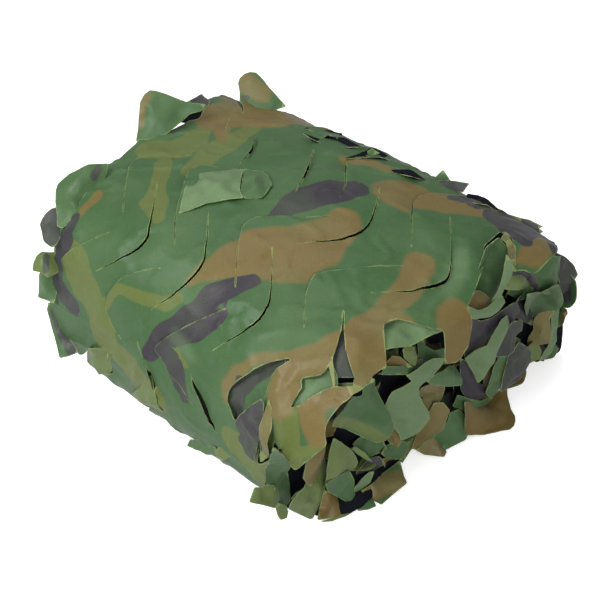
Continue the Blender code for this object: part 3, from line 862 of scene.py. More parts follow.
@dataclass
class FlatSheet:
    """The sheet laid flat, cloth length by X, as triangles with slits and cut leaves."""

    section: FoldedSection
    layout: Layout
    fine: float = 0.0031
    coarse: float = 0.0120
    fold_step: float = 0.0050
    outline_step: float = 0.0034
    inner_outline_step: float = 0.0070
    fold_clearance: float = 0.020
    half_width: float = 0.235
    hole_step: float = 0.0030
    jitter: float = 0.12
    jitter_size: float = 0.004
    clear_fine: float = 0.0024
    clear_coarse: float = 0.0044
    slits: list = field(init=False)
    holes: list = field(init=False)
    leaves: list = field(default_factory=list)
    points: Array = field(init=False)
    faces: Array = field(init=False)
    rim: Array = field(init=False)

    def __post_init__(self) -> None:
        """Cut the outline and the slits, fill the sheet with points and join them."""
        self.slits = [CutSlit(slit) for slit in SLITS + rear_slits()]
        right, left = self.edge(1), self.edge(-1)
        outline = np.vstack([right, left[::-1]])
        self.holes = [self.hole_ring(marks) for marks in self.layout.holes]
        rings = [cut.ring for cut in self.slits] + self.holes
        support = np.vstack([cut.support() for cut in self.slits])
        border = np.vstack([outline] + rings)
        inner_rows = self.filling(np.vstack([border, support]))
        everything = np.vstack([border, support, inner_rows])
        self.triangulate(everything, len(outline), [len(ring) for ring in rings], len(border))

    def hole_ring(self, marks: tuple) -> Array:
        """Outline of a torn hole from its marks in millimetres, with points close together."""
        ring = np.array(marks + marks[:1], dtype=float) * MM
        return densified(ring, self.hole_step)[:-1]

    def leaf_outline(self, side: int, leaf: EndLeaf, steps: int) -> Array:
        """Outline of one leaf on the flat sheet: its form, smoothed and scaled to its size."""
        shape = rounded(np.array(leaf.form.value), steps)
        cloth = leaf.start + (shape[:, 0] + leaf.lean * shape[:, 1]) * leaf.width
        along = leaf.root + side * leaf.length * np.maximum(shape[:, 1], 0.0)
        return np.column_stack([cloth, along])

    def inner_root(self, side: int, layer: int, cloth: float) -> float:
        """X of the cut end of an inner layer before its leaves; folds are not set back."""
        front, back = INNER_ENDS[side]
        setback = LAYER_ENDS[layer][0] if side > 0 else LAYER_ENDS[layer][2]
        start, end = self.section.layers[layer]
        clear = np.clip(min(cloth - start, end - cloth) / self.fold_clearance, 0.0, 1.0)
        share = 0.5 * (float(self.section.across(cloth)) + 1.0)
        return front + (back - front) * share - side * setback * float(clear)

    def edge(self, side: int) -> Array:
        """Cut end of the whole sheet at one X end, from the first end of the cloth on.

        Args:
            side: 1 for the end at +X, -1 for the end at -X.

        Returns:
            Points of the edge on the flat sheet.
        """
        rows = RIGHT_LEAVES if side > 0 else LEFT_LEAVES
        outer = [np.array([[0.0, rows[0].root]])]
        marks = np.array(self.layout.right_edge if side > 0 else self.layout.left_edge, dtype=float) * MM
        for leaf in rows:
            if len(marks) and leaf.start > marks[:, 0].max():
                outer.append(rounded(marks, 3, 0.30))
                marks = marks[:0]
            outer.append(self.leaf_outline(side, leaf, 5))
            self.leaves.append((side, leaf, 0.0))
        inner = []
        for layer, (start, end) in enumerate(self.section.layers):
            fold_start, fold_end = self.section.folds[layer]
            near = rows[-1].root if layer == 0 else self.inner_root(side, layer - 1, fold_start)
            far = self.inner_root(side, layer, fold_end)
            cloth = np.linspace(fold_start, fold_end, 8)
            inner.append(np.column_stack([cloth, np.linspace(near, far, 8)]))
            inner += self.layer_leaves(side, layer, start, end)
        last = float(self.section.length[-1])
        inner.append(np.array([[last, self.inner_root(side, len(self.section.layers) - 1, last)]]))
        first = densified(np.vstack(outer), self.outline_step)
        second = densified(np.vstack([first[-1:]] + inner), self.inner_outline_step)
        return np.vstack([first, second[1:]])

    def layer_leaves(self, side: int, layer: int, start: float, end: float) -> list:
        """Outlines of the leaves along the cut end of one inner layer."""
        made = []
        turn = LAYER_ENDS[layer][1] if side > 0 else LAYER_ENDS[layer][3]
        pick = layer * 2 + (1 if side < 0 else 0)
        cloth = start + self.fold_clearance
        while True:
            width, gap, length, lean, more, form = LAYER_LEAVES[pick % len(LAYER_LEAVES)]
            if cloth + width * (1.0 + abs(lean)) > end - self.fold_clearance:
                break
            root = self.inner_root(side, layer, cloth + 0.5 * width)
            leaf = EndLeaf(cloth, width, root, length, lean, turn + more, form)
            self.leaves.append((side, leaf, 1.0))
            made.append(self.leaf_outline(side, leaf, 2))
            cloth += width + gap
            pick += 1
        return made

    def filling(self, taken: Array) -> Array:
        """Rows of points over the whole sheet, every other row shifted by half a step.

        Points too near to the cut lines are left out, by marking small cells round them.
        """
        section = self.section
        made = []
        turn_rows = np.arange(0.5 * self.fine, section.curve_end, self.fine * 0.866)
        made.append(self.rows(turn_rows, self.fine, taken, self.clear_fine))
        floor_rows = np.arange(section.curve_end, section.folds[0][0], self.coarse * 0.8)
        rows = [floor_rows]
        for (start, end), fold in zip(section.layers, section.folds):
            rows.append(np.arange(fold[0], fold[1], self.fold_step))
            rows.append(np.arange(start, end - 0.3 * self.coarse, self.coarse * 0.866))
        made.append(self.rows(np.concatenate(rows), self.coarse, taken, self.clear_coarse))
        return np.vstack(made)

    def rows(self, cloth: Array, step: float, taken: Array, clear: float) -> Array:
        """One block of point rows, clear of the points already taken."""
        along = np.arange(-self.half_width, self.half_width, step)
        grid_cloth = np.repeat(cloth, len(along))
        shift = np.where(np.arange(len(cloth)) % 2 == 0, 0.0, 0.5 * step)
        grid_along = np.tile(along, len(cloth)) + np.repeat(shift, len(along))
        points = np.column_stack([grid_cloth, grid_along])
        points += self.jitter * step * np.column_stack([
            SoftNoise(self.jitter_size, 71).at(points),
            SoftNoise(self.jitter_size, 72).at(points),
        ])
        corner = np.array([-0.01, -0.27])
        size = (np.array([self.section.length[-1] + 0.05, 0.30]) - corner) / clear
        marked = np.zeros((int(size[0]) + 4, int(size[1]) + 4), dtype=bool)
        cells = ((taken - corner) / clear).astype(int) + 1
        for shift_cloth in (-1, 0, 1):
            for shift_along in (-1, 0, 1):
                marked[cells[:, 0] + shift_cloth, cells[:, 1] + shift_along] = True
        own = ((points - corner) / clear).astype(int) + 1
        return points[~marked[own[:, 0], own[:, 1]]]

    def triangulate(self, points: Array, outline: int, rings: list, border: int) -> None:
        """Join the points into triangles, without those inside the slits.

        Args:
            points: all points of the sheet, border points first.
            outline: how many points the outline has.
            rings: how many points each slit has.
            border: how many border points there are.
        """
        edges = []
        start = 0
        for count in [outline] + rings:
            loop = list(range(start, start + count))
            edges += list(zip(loop, loop[1:] + loop[:1]))
            start += count
        flat = [Vector(point) for point in points.tolist()]
        result = delaunay_2d_cdt(flat, edges, [], 1, 1e-7)
        places = np.array([tuple(point) for point in result[0]])
        source = np.array([origins[0] if origins else -1 for origins in result[3]])
        faces = np.array([face for face in result[2] if len(face) == 3])
        centres = places[faces].mean(axis=1)
        keep = np.ones(len(faces), dtype=bool)
        for ring in [cut.ring for cut in self.slits] + self.holes:
            keep &= ~inside(centres, ring)
        faces = faces[keep][:, ::-1]
        used, packed = np.unique(faces, return_inverse=True)
        self.points = places[used]
        self.faces = packed.reshape(-1, 3)
        self.rim = (source[used] >= 0) & (source[used] < border)

    def area(self) -> float:
        """Area of the cut sheet, the sum of its triangles."""
        corners = self.points[self.faces]
        first, second = corners[:, 1] - corners[:, 0], corners[:, 2] - corners[:, 0]
        return float(0.5 * np.abs(first[:, 0] * second[:, 1] - first[:, 1] * second[:, 0]).sum())


# ---------------------------------------------------------------- folding
@dataclass(frozen=True)
class Pleat:
    """A ridge of the cloth, or a groove where its height is negative, all in millimetres."""

    height: float
    width: float
    marks: tuple


# pleats, with their lines in pixels of the camera's picture
SEEN_PLEATS = (
    Pleat(3, 8, ((288, 364), (278, 385), (278, 410), (281, 440))),
    Pleat(-2, 5, ((296, 368), (289, 385), (286, 400))),
    Pleat(2.5, 9, ((262, 430), (266, 450))),
    Pleat(0.9, 2.5, ((326, 268), (334, 284), (341, 300))),
    Pleat(0.8, 2.5, ((312, 272), (320, 282), (330, 290))),
    Pleat(-1.2, 3, ((300, 320), (320, 316), (338, 308))),
    Pleat(1.6, 6, ((425, 285), (412, 302), (400, 318))),
    Pleat(-1.2, 4, ((418, 283), (404, 300), (392, 314))),
    Pleat(1.2, 5, ((352, 345), (372, 332), (384, 326))),
    Pleat(1.5, 6, ((356, 352), (352, 372), (350, 388))),
)
# painted sheen strokes, where the cloth catches the light near the curled edge and along a ridge: chains of
# (across, down, half width) in pixels
SEEN_SHEEN = (
    ((447, 294, 6), (455, 272, 7), (464, 252, 5)),
    ((176, 336, 4), (184, 344, 5), (192, 356, 3)),
)


def bent(past: Array, angle: Array, curl: float) -> tuple:
    """Run forward and offset of cloth that curls out of its layer and then runs straight.

    Over the curl length the direction turns evenly to the angle, as on an arc; past it the
    cloth runs on in that direction.

    Args:
        past: length of cloth past the root.
        angle: final angle in radians.
        curl: length over which the cloth curls.

    Returns:
        The run along the old direction and the offset square to it.
    """
    curled = np.minimum(past, curl)
    bend = angle * curled / curl
    free = past - curled
    forward = curled * np.sinc(bend / np.pi) + free * np.cos(angle)
    offset = curled * np.sin(0.5 * bend) * np.sinc(0.5 * bend / np.pi) + free * np.sin(angle)
    return forward, offset


@dataclass
class FoldedNet:
    """Lays the flat sheet round the folded section of the bundle.

    The slits, the leaves of the ends and the pleats may be left out, for the plain cloth.
    """

    section: FoldedSection
    pleats: tuple = ()
    slits: list = field(default_factory=list)
    leaves: list = field(default_factory=list)
    sheet_room: float = 0.0022
    leaf_curl: float = 0.022
    leaf_twist: float = 16.0  # greatest turn of a leaf between its two sides, in degrees
    lowest: float = 0.0006
    swell: float = 0.020
    swell_waves: tuple = (23.0, 17.0)
    sway: float = 0.0045
    sway_wave: float = 19.0
    drape_curl: float = 0.034
    # heights of the broad pillows, drapes, drags, crumple, ridges and creases
    relief_heights: tuple = (0.0013, 0.0007, 0.0006, 0.00016, 0.0017, 0.0014)
    # (cloth, root, turn in degrees) of the cloth that hangs over the right end
    drape: tuple = (
        (0.080, 0.150, 0.0), (0.130, 0.138, 18.0), (0.190, 0.132, 34.0), (0.250, 0.140, 50.0),
        (0.300, 0.150, 62.0), (0.390, 0.152, 62.0), (0.440, 0.150, 36.0), (0.490, 0.150, 6.0),
        (0.520, 0.150, 0.0),
    )
    # (along, front, back, height) of the bundle
    stations: tuple = (
        (-0.240, -0.148, 0.104, 0.152), (-0.150, -0.159, 0.123, 0.173),
        (-0.060, -0.162, 0.131, 0.181), (0.030, -0.161, 0.141, 0.177),
        (0.110, -0.160, 0.152, 0.168), (0.200, -0.158, 0.164, 0.158),
    )

    def station(self, along: Array) -> tuple:
        """Front, back and height of the bundle at places along X, on a smooth curve."""
        curve = smooth_line(np.array(self.stations), 8)
        return tuple(np.interp(along, curve[:, 0], curve[:, k]) for k in (1, 2, 3))

    def bends(self, points: Array) -> tuple:
        """Leaf bend at each point of the flat sheet.

        Args:
            points: flat positions.

        Returns:
            Side, root, turn in radians and inner flag, zero away from the leaves.
        """
        side = np.zeros(len(points))
        root = np.zeros(len(points))
        turn = np.zeros(len(points))
        inner = np.zeros(len(points))
        drape = smooth_line(np.array(self.drape), 6)
        hem = np.interp(points[:, 0], drape[:, 0], drape[:, 1])
        over = (points[:, 0] > drape[0, 0]) & (points[:, 0] < drape[-1, 0]) & (points[:, 1] > hem)
        side[over] = 1.0
        root[over] = hem[over]
        turn[over] = np.radians(np.interp(points[over, 0], drape[:, 0], drape[:, 2]))
        for number, (at_side, leaf, layer) in enumerate(self.leaves):
            low = leaf.start - 0.05 * leaf.width - abs(leaf.lean) * leaf.width
            high = leaf.start + leaf.width * (1.05 + abs(leaf.lean))
            within = (points[:, 0] > low) & (points[:, 0] < high)
            within &= at_side * (points[:, 1] - leaf.root) > 0.0
            share = (points[:, 0] - leaf.start) / leaf.width - 0.5
            twist = self.leaf_twist * float(SoftNoise(1.0, 81).at(np.array([[number + 0.5, 3.5]]))[0])
            side[within] = at_side
            root[within] = leaf.root
            turn[within] = np.radians(leaf.turn + twist * share[within])
            inner[within] = layer
        return side, root, turn, inner

    def relief(self, points: Array, inner: Array) -> Array:
        """Small unevenness of the cloth: broad pillows, drag folds, fine crumple and creases.

        A crease runs where its noise passes through nothing, and falls off to both sides.
        """
        slant = np.column_stack([points[:, 0] + points[:, 1], 3.0 * (points[:, 1] - points[:, 0])])
        broad = SoftNoise(0.060, 91).at(points)
        middle = SoftNoise(0.026, 92).at(points)
        drag = SoftNoise(0.045, 93).at(slant)
        fine = SoftNoise(0.009, 94).at(points)
        patchy = smooth_step(SoftNoise(0.070, 95).at(points), -0.35, 0.35)
        ridges = np.maximum(0.0, 1.0 - 4.0 * np.abs(SoftNoise(0.038, 96).at(0.6 * slant)))
        creases = np.maximum(0.0, 1.0 - 5.0 * np.abs(SoftNoise(0.024, 97).at(points)))
        pillow, drape, tug, crumple, ridge, crease = self.relief_heights
        return (pillow * broad + drape * middle + tug * drag * np.abs(drag) + crumple * fine
                + ridge * patchy * ridges + crease * (1.0 - 0.6 * patchy) * creases)

    def pleating(self, points: Array) -> Array:
        """Height of the pleats: each rises round its line and levels out at its ends."""
        total = np.zeros(len(points))
        for pleat in self.pleats:
            line = np.array(pleat.marks, dtype=float) * MM
            middle = line.mean(axis=0)
            reach = float(np.ptp(line, axis=0).max()) + 3.0 * pleat.width * MM
            near = np.linalg.norm(points - middle, axis=1) < reach
            gap = distance_to_line(points[near], line)
            total[near] += pleat.height * MM * np.exp(-(gap / (pleat.width * MM)) ** 2)
        return total

    def place(self, points: Array) -> Array:
        """Positions in space of the points of the flat sheet.

        The place along the cloth gives the share across and up from the section, the
        station along X scales them, leaves bend out of the layer at their roots, tongues
        rise along the outward normal, and a slow swell and sway make the bundle uneven.

        Args:
            points: flat positions, cloth length and X.

        Returns:
            Positions with three columns.
        """
        cloth = points[:, 0]
        side, root, turn, inner = self.bends(points)
        lift = np.zeros(len(points))
        on_turn = cloth < self.section.curve_end + 0.02
        for cut in self.slits:
            lift[on_turn] += cut.lift(points[on_turn])
        past = np.where(side != 0.0, np.maximum(side * (points[:, 1] - root), 0.0), 0.0)
        base = np.where(past > 0.0, root, points[:, 1])
        draped = (side > 0.0) & (cloth > self.drape[0][0]) & (cloth < self.drape[-1][0])
        forward, offset = bent(past, turn, np.where(draped, self.drape_curl, self.leaf_curl))
        front, back, height = self.station(base)
        along = base + side * forward
        across = front + 0.5 * (self.section.across(cloth) + 1.0) * (back - front)
        share = self.section.up(cloth)
        up = share * (height - self.sheet_room)
        outward = self.section.outward(cloth, 0.006)
        inward_y = np.where(inner > 0.0, 0.0, -outward[:, 0])
        inward_z = np.where(inner > 0.0, -1.0, -outward[:, 1])
        floor = smooth_step(share, 0.0, 0.10)
        out = (lift + self.relief(points, inner) + self.pleating(points)) * floor
        across = across + offset * inward_y + out * outward[:, 0]
        up = up + offset * inward_z + out * outward[:, 1]
        wave_x, wave_y = self.swell_waves
        swell = 1.0 + self.swell * np.sin(wave_x * along + 0.7) * np.cos(wave_y * across)
        sway = self.sway * share * np.sin(self.sway_wave * along + 0.4)
        up = np.maximum(up * swell + 0.5 * self.sheet_room, self.lowest)
        return np.column_stack([along, across + sway, up])


# ---------------------------------------------------------------- marks carried on to the cloth
PIXELS_PER_MM = 1.15  # at the middle of the bundle
PLEAT_ROUNDS = 3  # the pleats move the cloth that they are charted on, and settle within these
PLEATED = (slice(150, 520), slice(430, 640))  # rows and columns of the chart where the pleats lie


def whole_mm(places: Array) -> tuple:
    """Places in metres as tuples of whole millimetres."""
    return tuple(map(tuple, np.rint(places * 1000.0).astype(int).tolist()))


@dataclass
class Chart:
    """Carries marks from the camera's picture on to the cloth.

    The uncut cloth is laid out as a close grid. The cloth under a pixel is the grid's place
    that is seen nearest to it, of those whose outer face is turned to the camera.
    """

    view: Viewpoint
    net: FoldedNet
    rows: tuple = (0.0, 0.66, 900)  # first and last place along the cloth, and how many
    columns: tuple = (-0.26, 0.24, 700)  # the same for X
    part: tuple = (slice(None), slice(None))  # rows and columns that are laid out
    near: float = 2.0  # pixels within which a place is taken to be under the mark
    flat: Array = field(init=False)
    solid: Array = field(init=False)
    outward: Array = field(init=False)
    front: Array = field(init=False)
    pixels: Array = field(init=False)

    def __post_init__(self) -> None:
        """Fold the grid and find out which of its places are seen, and where."""
        rows = np.linspace(*self.rows)[self.part[0]]
        columns = np.linspace(*self.columns)[self.part[1]]
        grid = np.stack(np.meshgrid(rows, columns, indexing="ij"), axis=-1)
        self.flat = grid.reshape(-1, 2)
        self.solid = self.net.place(self.flat) + CENTRING
        folded = self.solid.reshape(grid.shape[:2] + (3,))
        normals = np.cross(np.gradient(folded, axis=0), np.gradient(folded, axis=1)).reshape(-1, 3)
        self.outward = unit(-normals)
        self.front = np.flatnonzero((self.outward * (self.view.place() - self.solid)).sum(axis=1) > 0.0)
        self.pixels = self.view.seen(self.solid[self.front])

    def nearest(self, pixel: Array) -> tuple:
        """Number of the grid's place under a pixel, and how many pixels away it is seen."""
        gap = ((self.pixels - np.array(pixel, dtype=float)) ** 2).sum(axis=1)
        pick = int(gap.argmin())
        return int(self.front[pick]), float(gap[pick]) ** 0.5

    def marks(self, pixels: tuple) -> tuple:
        """Marks (cloth, along) of the flat sheet under a line of pixels."""
        return whole_mm(self.flat[[self.nearest(pixel)[0] for pixel in pixels]])

    def stroke(self, tone: Tone, chain: tuple, square: bool = True) -> Stroke:
        """Carry a painted stroke on to the flat sheet.

        The half width of each mark is measured on the cloth to two sides of it, and a side
        that runs off the cloth does not count.

        Args:
            tone: the printed colour.
            chain: marks (across, down, half width) in pixels.
            square: measure the width square to the run, or else across and down.

        Returns:
            The stroke in millimetres.
        """
        marks = np.array(chain, dtype=float)
        made = []
        for number, (*pixel, half) in enumerate(marks):
            run = marks[min(number + 1, len(marks) - 1), :2] - marks[max(number - 1, 0), :2]
            beside = np.array([-run[1], run[0]]) / max(float(np.hypot(*run)), 1e-9)
            sides = (beside, -beside) if square else np.eye(2)
            here = self.flat[self.nearest(pixel)[0]]
            reached = [self.nearest(pixel + half * side) for side in sides]
            widths = [np.linalg.norm(self.flat[pick] - here) for pick, miss in reached if miss < self.near]
            width = np.mean(widths) if widths else half / PIXELS_PER_MM * MM
            made.append(whole_mm(np.array([[*here, max(width, MM)]]))[0])
        return Stroke(tone, tuple(made))

    def pleats(self) -> tuple:
        """Pleats, with their lines on the flat sheet."""
        return tuple(Pleat(pleat.height, pleat.width, self.marks(pleat.marks)) for pleat in SEEN_PLEATS)

    def layout(self) -> Layout:
        """Everything that the camera's view lays out on the sheet."""
        blots = [self.stroke(tone, chain) for tone, chains in SEEN_BLOTS.items() for chain in chains]
        blots += [Stroke(tone, chain) for tone, chains in FLAT_BLOTS.items() for chain in chains]
        return Layout(
            right_edge=self.marks(SEEN_RIGHT_EDGE),
            left_edge=self.marks(SEEN_LEFT_EDGE),
            holes=tuple(self.marks(hole) for hole in SEEN_HOLES),
            pleats=self.pleats(),
            # strokes of painted sheen on the cloth
            sheen_and_wear=tuple(self.stroke(Tone.OLIVE, chain, square=False) for chain in SEEN_SHEEN),
            blots=tuple(blots),
        )


# ---------------------------------------------------------------- meshes
def surface(name: str, places: Array, faces: Array, flat: Array, marks: dict) -> bpy.types.Object:
    """Put arrays into a mesh object.

    Args:
        name: name of the piece.
        places: positions of the vertices.
        faces: vertex numbers of the faces, three or four each.
        flat: flat cloth position of each vertex in metres, kept as the UV map.
        marks: attribute name to value at each vertex.

    Returns:
        The new object, linked to the scene.
    """
    corners = faces.shape[1]
    mesh = bpy.data.meshes.new(name)
    mesh.vertices.add(len(places))
    mesh.vertices.foreach_set("co", (places + CENTRING).astype(np.float32).ravel())
    mesh.loops.add(faces.size)
    mesh.loops.foreach_set("vertex_index", faces.astype(np.int32).ravel())
    mesh.polygons.add(len(faces))
    mesh.polygons.foreach_set("loop_start", np.arange(0, faces.size, corners, dtype=np.int32))
    mesh.update(calc_edges=True)
    layer = mesh.uv_layers.new(name="cloth")
    layer.data.foreach_set("uv", flat[faces.ravel()].astype(np.float32).ravel())
    for title, values in marks.items():
        attribute = mesh.attributes.new(title, "FLOAT", "POINT")
        attribute.data.foreach_set("value", values.astype(np.float32))
    mesh.validate()
    piece = bpy.data.objects.new(name, mesh)
    bpy.context.scene.collection.objects.link(piece)
    return piece


def thickened(piece: bpy.types.Object, thickness: float, sharp: float) -> None:
    """Give a sheet its thickness, with a rim in its second material, and keep cut edges crisp.

    Args:
        piece: the sheet.
        thickness: thickness of the cloth.
        sharp: angle in degrees past which an edge is not shaded smooth.
    """
    wall = piece.modifiers.new("thickness", "SOLIDIFY")
    wall.thickness = thickness
    wall.offset = 0.0
    wall.use_even_offset = False
    wall.use_rim = True
    wall.material_offset_rim = 1
    graph = bpy.context.evaluated_depsgraph_get()
    made = bpy.data.meshes.new_from_object(
        piece.evaluated_get(graph), preserve_all_data_layers=True, depsgraph=graph)
    old = piece.data
    piece.modifiers.clear()
    piece.data = made
    made.name = old.name + "_cloth"
    bpy.data.meshes.remove(old)
    made.shade_smooth()
    made.set_sharp_from_angle(angle=math.radians(sharp))


def linear(red: int, green: int, blue: int) -> tuple:
    """Turn a screen colour from 0 to 255 into linear light, with full cover."""
    shares = [value / 255.0 for value in (red, green, blue)]
    return tuple(s / 12.92 if s <= 0.04045 else ((s + 0.055) / 1.055) ** 2.4 for s in shares) + (1.0,)


# ---------------------------------------------------------------- shader groups
@dataclass
class Board:
    """A node tree with short calls to add and join nodes."""

    tree: bpy.types.NodeTree

    def add(self, kind: str, **settings: object) -> bpy.types.Node:
        """Add a node of the kind and set its properties."""
        node = self.tree.nodes.new(kind)
        for title, value in settings.items():
            setattr(node, title, value)
        return node

    def join(self, source: bpy.types.NodeSocket, target: bpy.types.NodeSocket) -> None:
        """Link an output to an input."""
        self.tree.links.new(source, target)

    def maths(self, operation: str, first: object, second: object) -> bpy.types.NodeSocket:
        """Add a math node on two values or sockets and give back its output."""
        node = self.add("ShaderNodeMath", operation=operation)
        for socket, value in zip(node.inputs, (first, second)):
            if isinstance(value, bpy.types.NodeSocket):
                self.join(value, socket)
            else:
                socket.default_value = value
        return node.outputs[0]

    def ramp(self, value: object, low: float, high: float) -> bpy.types.NodeSocket:
        """Map a value from low to high smoothly onto 0 to 1."""
        node = self.add("ShaderNodeMapRange", interpolation_type="SMOOTHSTEP")
        self.join(value, node.inputs["Value"])
        node.inputs["From Min"].default_value = low
        node.inputs["From Max"].default_value = high
        return node.outputs["Result"]

    def mix(self, share: object, first: object, second: object, blend: str = "MIX") -> bpy.types.NodeSocket:
        """Mix two colours by a share and give back the colour."""
        node = self.add("ShaderNodeMix", data_type="RGBA", blend_type=blend, clamp_result=True)
        for socket, value in zip((node.inputs[0], node.inputs[6], node.inputs[7]), (share, first, second)):
            if isinstance(value, bpy.types.NodeSocket):
                self.join(value, socket)
            else:
                socket.default_value = value
        return node.outputs[2]


def new_group(name: str, inputs: tuple, outputs: tuple) -> tuple:
    """Make an empty shader group.

    Args:
        name: name of the group.
        inputs: (name, kind, default) of its inputs.
        outputs: (name, kind) of its outputs.

    Returns:
        The group's tree, its board and its input and output nodes.
    """
    tree = bpy.data.node_groups.new(name, "ShaderNodeTree")
    for title, kind, default in inputs:
        socket = tree.interface.new_socket(name=title, in_out="INPUT", socket_type=kind)
        socket.default_value = default
    for title, kind in outputs:
        tree.interface.new_socket(name=title, in_out="OUTPUT", socket_type=kind)
    board = Board(tree)
    return tree, board, board.add("NodeGroupInput"), board.add("NodeGroupOutput")


def woodland_group() -> bpy.types.NodeTree:
    """Print the tones over the ground, one after the other, wherever their distance is below nil."""
    inputs = [("Ground", "NodeSocketColor", (0.1, 0.2, 0.1, 1.0))]
    for tone in Tone:
        inputs.append((tone.name.title(), "NodeSocketColor", (0.1, 0.1, 0.1, 1.0)))
        inputs.append((tone.name.title() + " Distance", "NodeSocketFloat", 0.05))
    tree, board, source, target = new_group("woodland_print", tuple(inputs), (("Color", "NodeSocketColor"),))
    softness = {Tone.OLIVE: 0.0010, Tone.TAN: 0.0024, Tone.DARK: 0.0006}
    colour = source.outputs["Ground"]
    for tone in Tone:
        distance = source.outputs[tone.name.title() + " Distance"]
        share = board.ramp(distance, softness[tone], -softness[tone])
        colour = board.mix(share, colour, source.outputs[tone.name.title()])
    board.join(colour, target.inputs["Color"])
    return tree


def weave_group() -> bpy.types.NodeTree:
    """Plain weave from the flat cloth position: two crossed sets of threads, over and under.

    The height of each set is a sine across its threads, and a checker of the two counts
    says which set is on top.
    """
    inputs = (("Flat", "NodeSocketVector", (0.0, 0.0, 0.0)), ("Threads", "NodeSocketFloat", 900.0))
    outputs = (("Height", "NodeSocketFloat"), ("Shade", "NodeSocketFloat"))
    tree, board, source, target = new_group("cloth_weave", inputs, outputs)
    parts = board.add("ShaderNodeSeparateXYZ")
    board.join(source.outputs["Flat"], parts.inputs[0])
    waves = []
    for axis in ("X", "Y"):
        turns = board.maths("MULTIPLY", parts.outputs[axis], source.outputs["Threads"])
        waves.append(board.maths("SINE", board.maths("MULTIPLY", turns, math.pi), 0.0))
    over = board.maths("MULTIPLY", waves[0], waves[1])
    height = board.maths("MULTIPLY_ADD", over, 0.5)
    height.node.inputs[2].default_value = 0.5
    board.join(height, target.inputs["Height"])
    slubs = board.add("ShaderNodeTexNoise", noise_dimensions="2D")
    board.join(source.outputs["Flat"], slubs.inputs["Vector"])
    slubs.inputs["Scale"].default_value = 420.0
    slubs.inputs["Detail"].default_value = 2.0
    board.join(slubs.outputs["Fac"], target.inputs["Shade"])
    return tree


def wear_group() -> bpy.types.NodeTree:
    """Handling of the cloth: worn lighter patches, creases and lighter cut edges.

    Patches come from broad noise, creases are the narrow band where finer noise passes its
    middle, and the edge share falls from 1 at the cut to 0 a millimetre inside.
    """
    inputs = (("Flat", "NodeSocketVector", (0.0, 0.0, 0.0)), ("Edge Distance", "NodeSocketFloat", 0.003),
              ("Edge Width", "NodeSocketFloat", 0.0007))
    outputs = (("Patches", "NodeSocketFloat"), ("Creases", "NodeSocketFloat"), ("Edge", "NodeSocketFloat"))
    tree, board, source, target = new_group("handling_wear", inputs, outputs)
    broad = board.add("ShaderNodeTexNoise", noise_dimensions="2D")
    board.join(source.outputs["Flat"], broad.inputs["Vector"])
    broad.inputs["Scale"].default_value = 16.0
    broad.inputs["Detail"].default_value = 3.0
    board.join(board.ramp(broad.outputs["Fac"], 0.35, 0.70), target.inputs["Patches"])
    fine = board.add("ShaderNodeTexNoise", noise_dimensions="2D")
    board.join(source.outputs["Flat"], fine.inputs["Vector"])
    fine.inputs["Scale"].default_value = 38.0
    fine.inputs["Detail"].default_value = 1.0
    fine.inputs["Distortion"].default_value = 0.8
    off = board.maths("ABSOLUTE", board.maths("SUBTRACT", fine.outputs["Fac"], 0.5), 0.0)
    board.join(board.ramp(off, 0.012, 0.0), target.inputs["Creases"])
    ragged = board.add("ShaderNodeTexNoise", noise_dimensions="2D")
    board.join(source.outputs["Flat"], ragged.inputs["Vector"])
    ragged.inputs["Scale"].default_value = 120.0
    fray = board.ramp(ragged.outputs["Fac"], 0.25, 0.75)
    width = board.maths("MULTIPLY", source.outputs["Edge Width"], fray)
    near = board.maths("LESS_THAN", source.outputs["Edge Distance"], width)
    board.join(near, target.inputs["Edge"])
    return tree


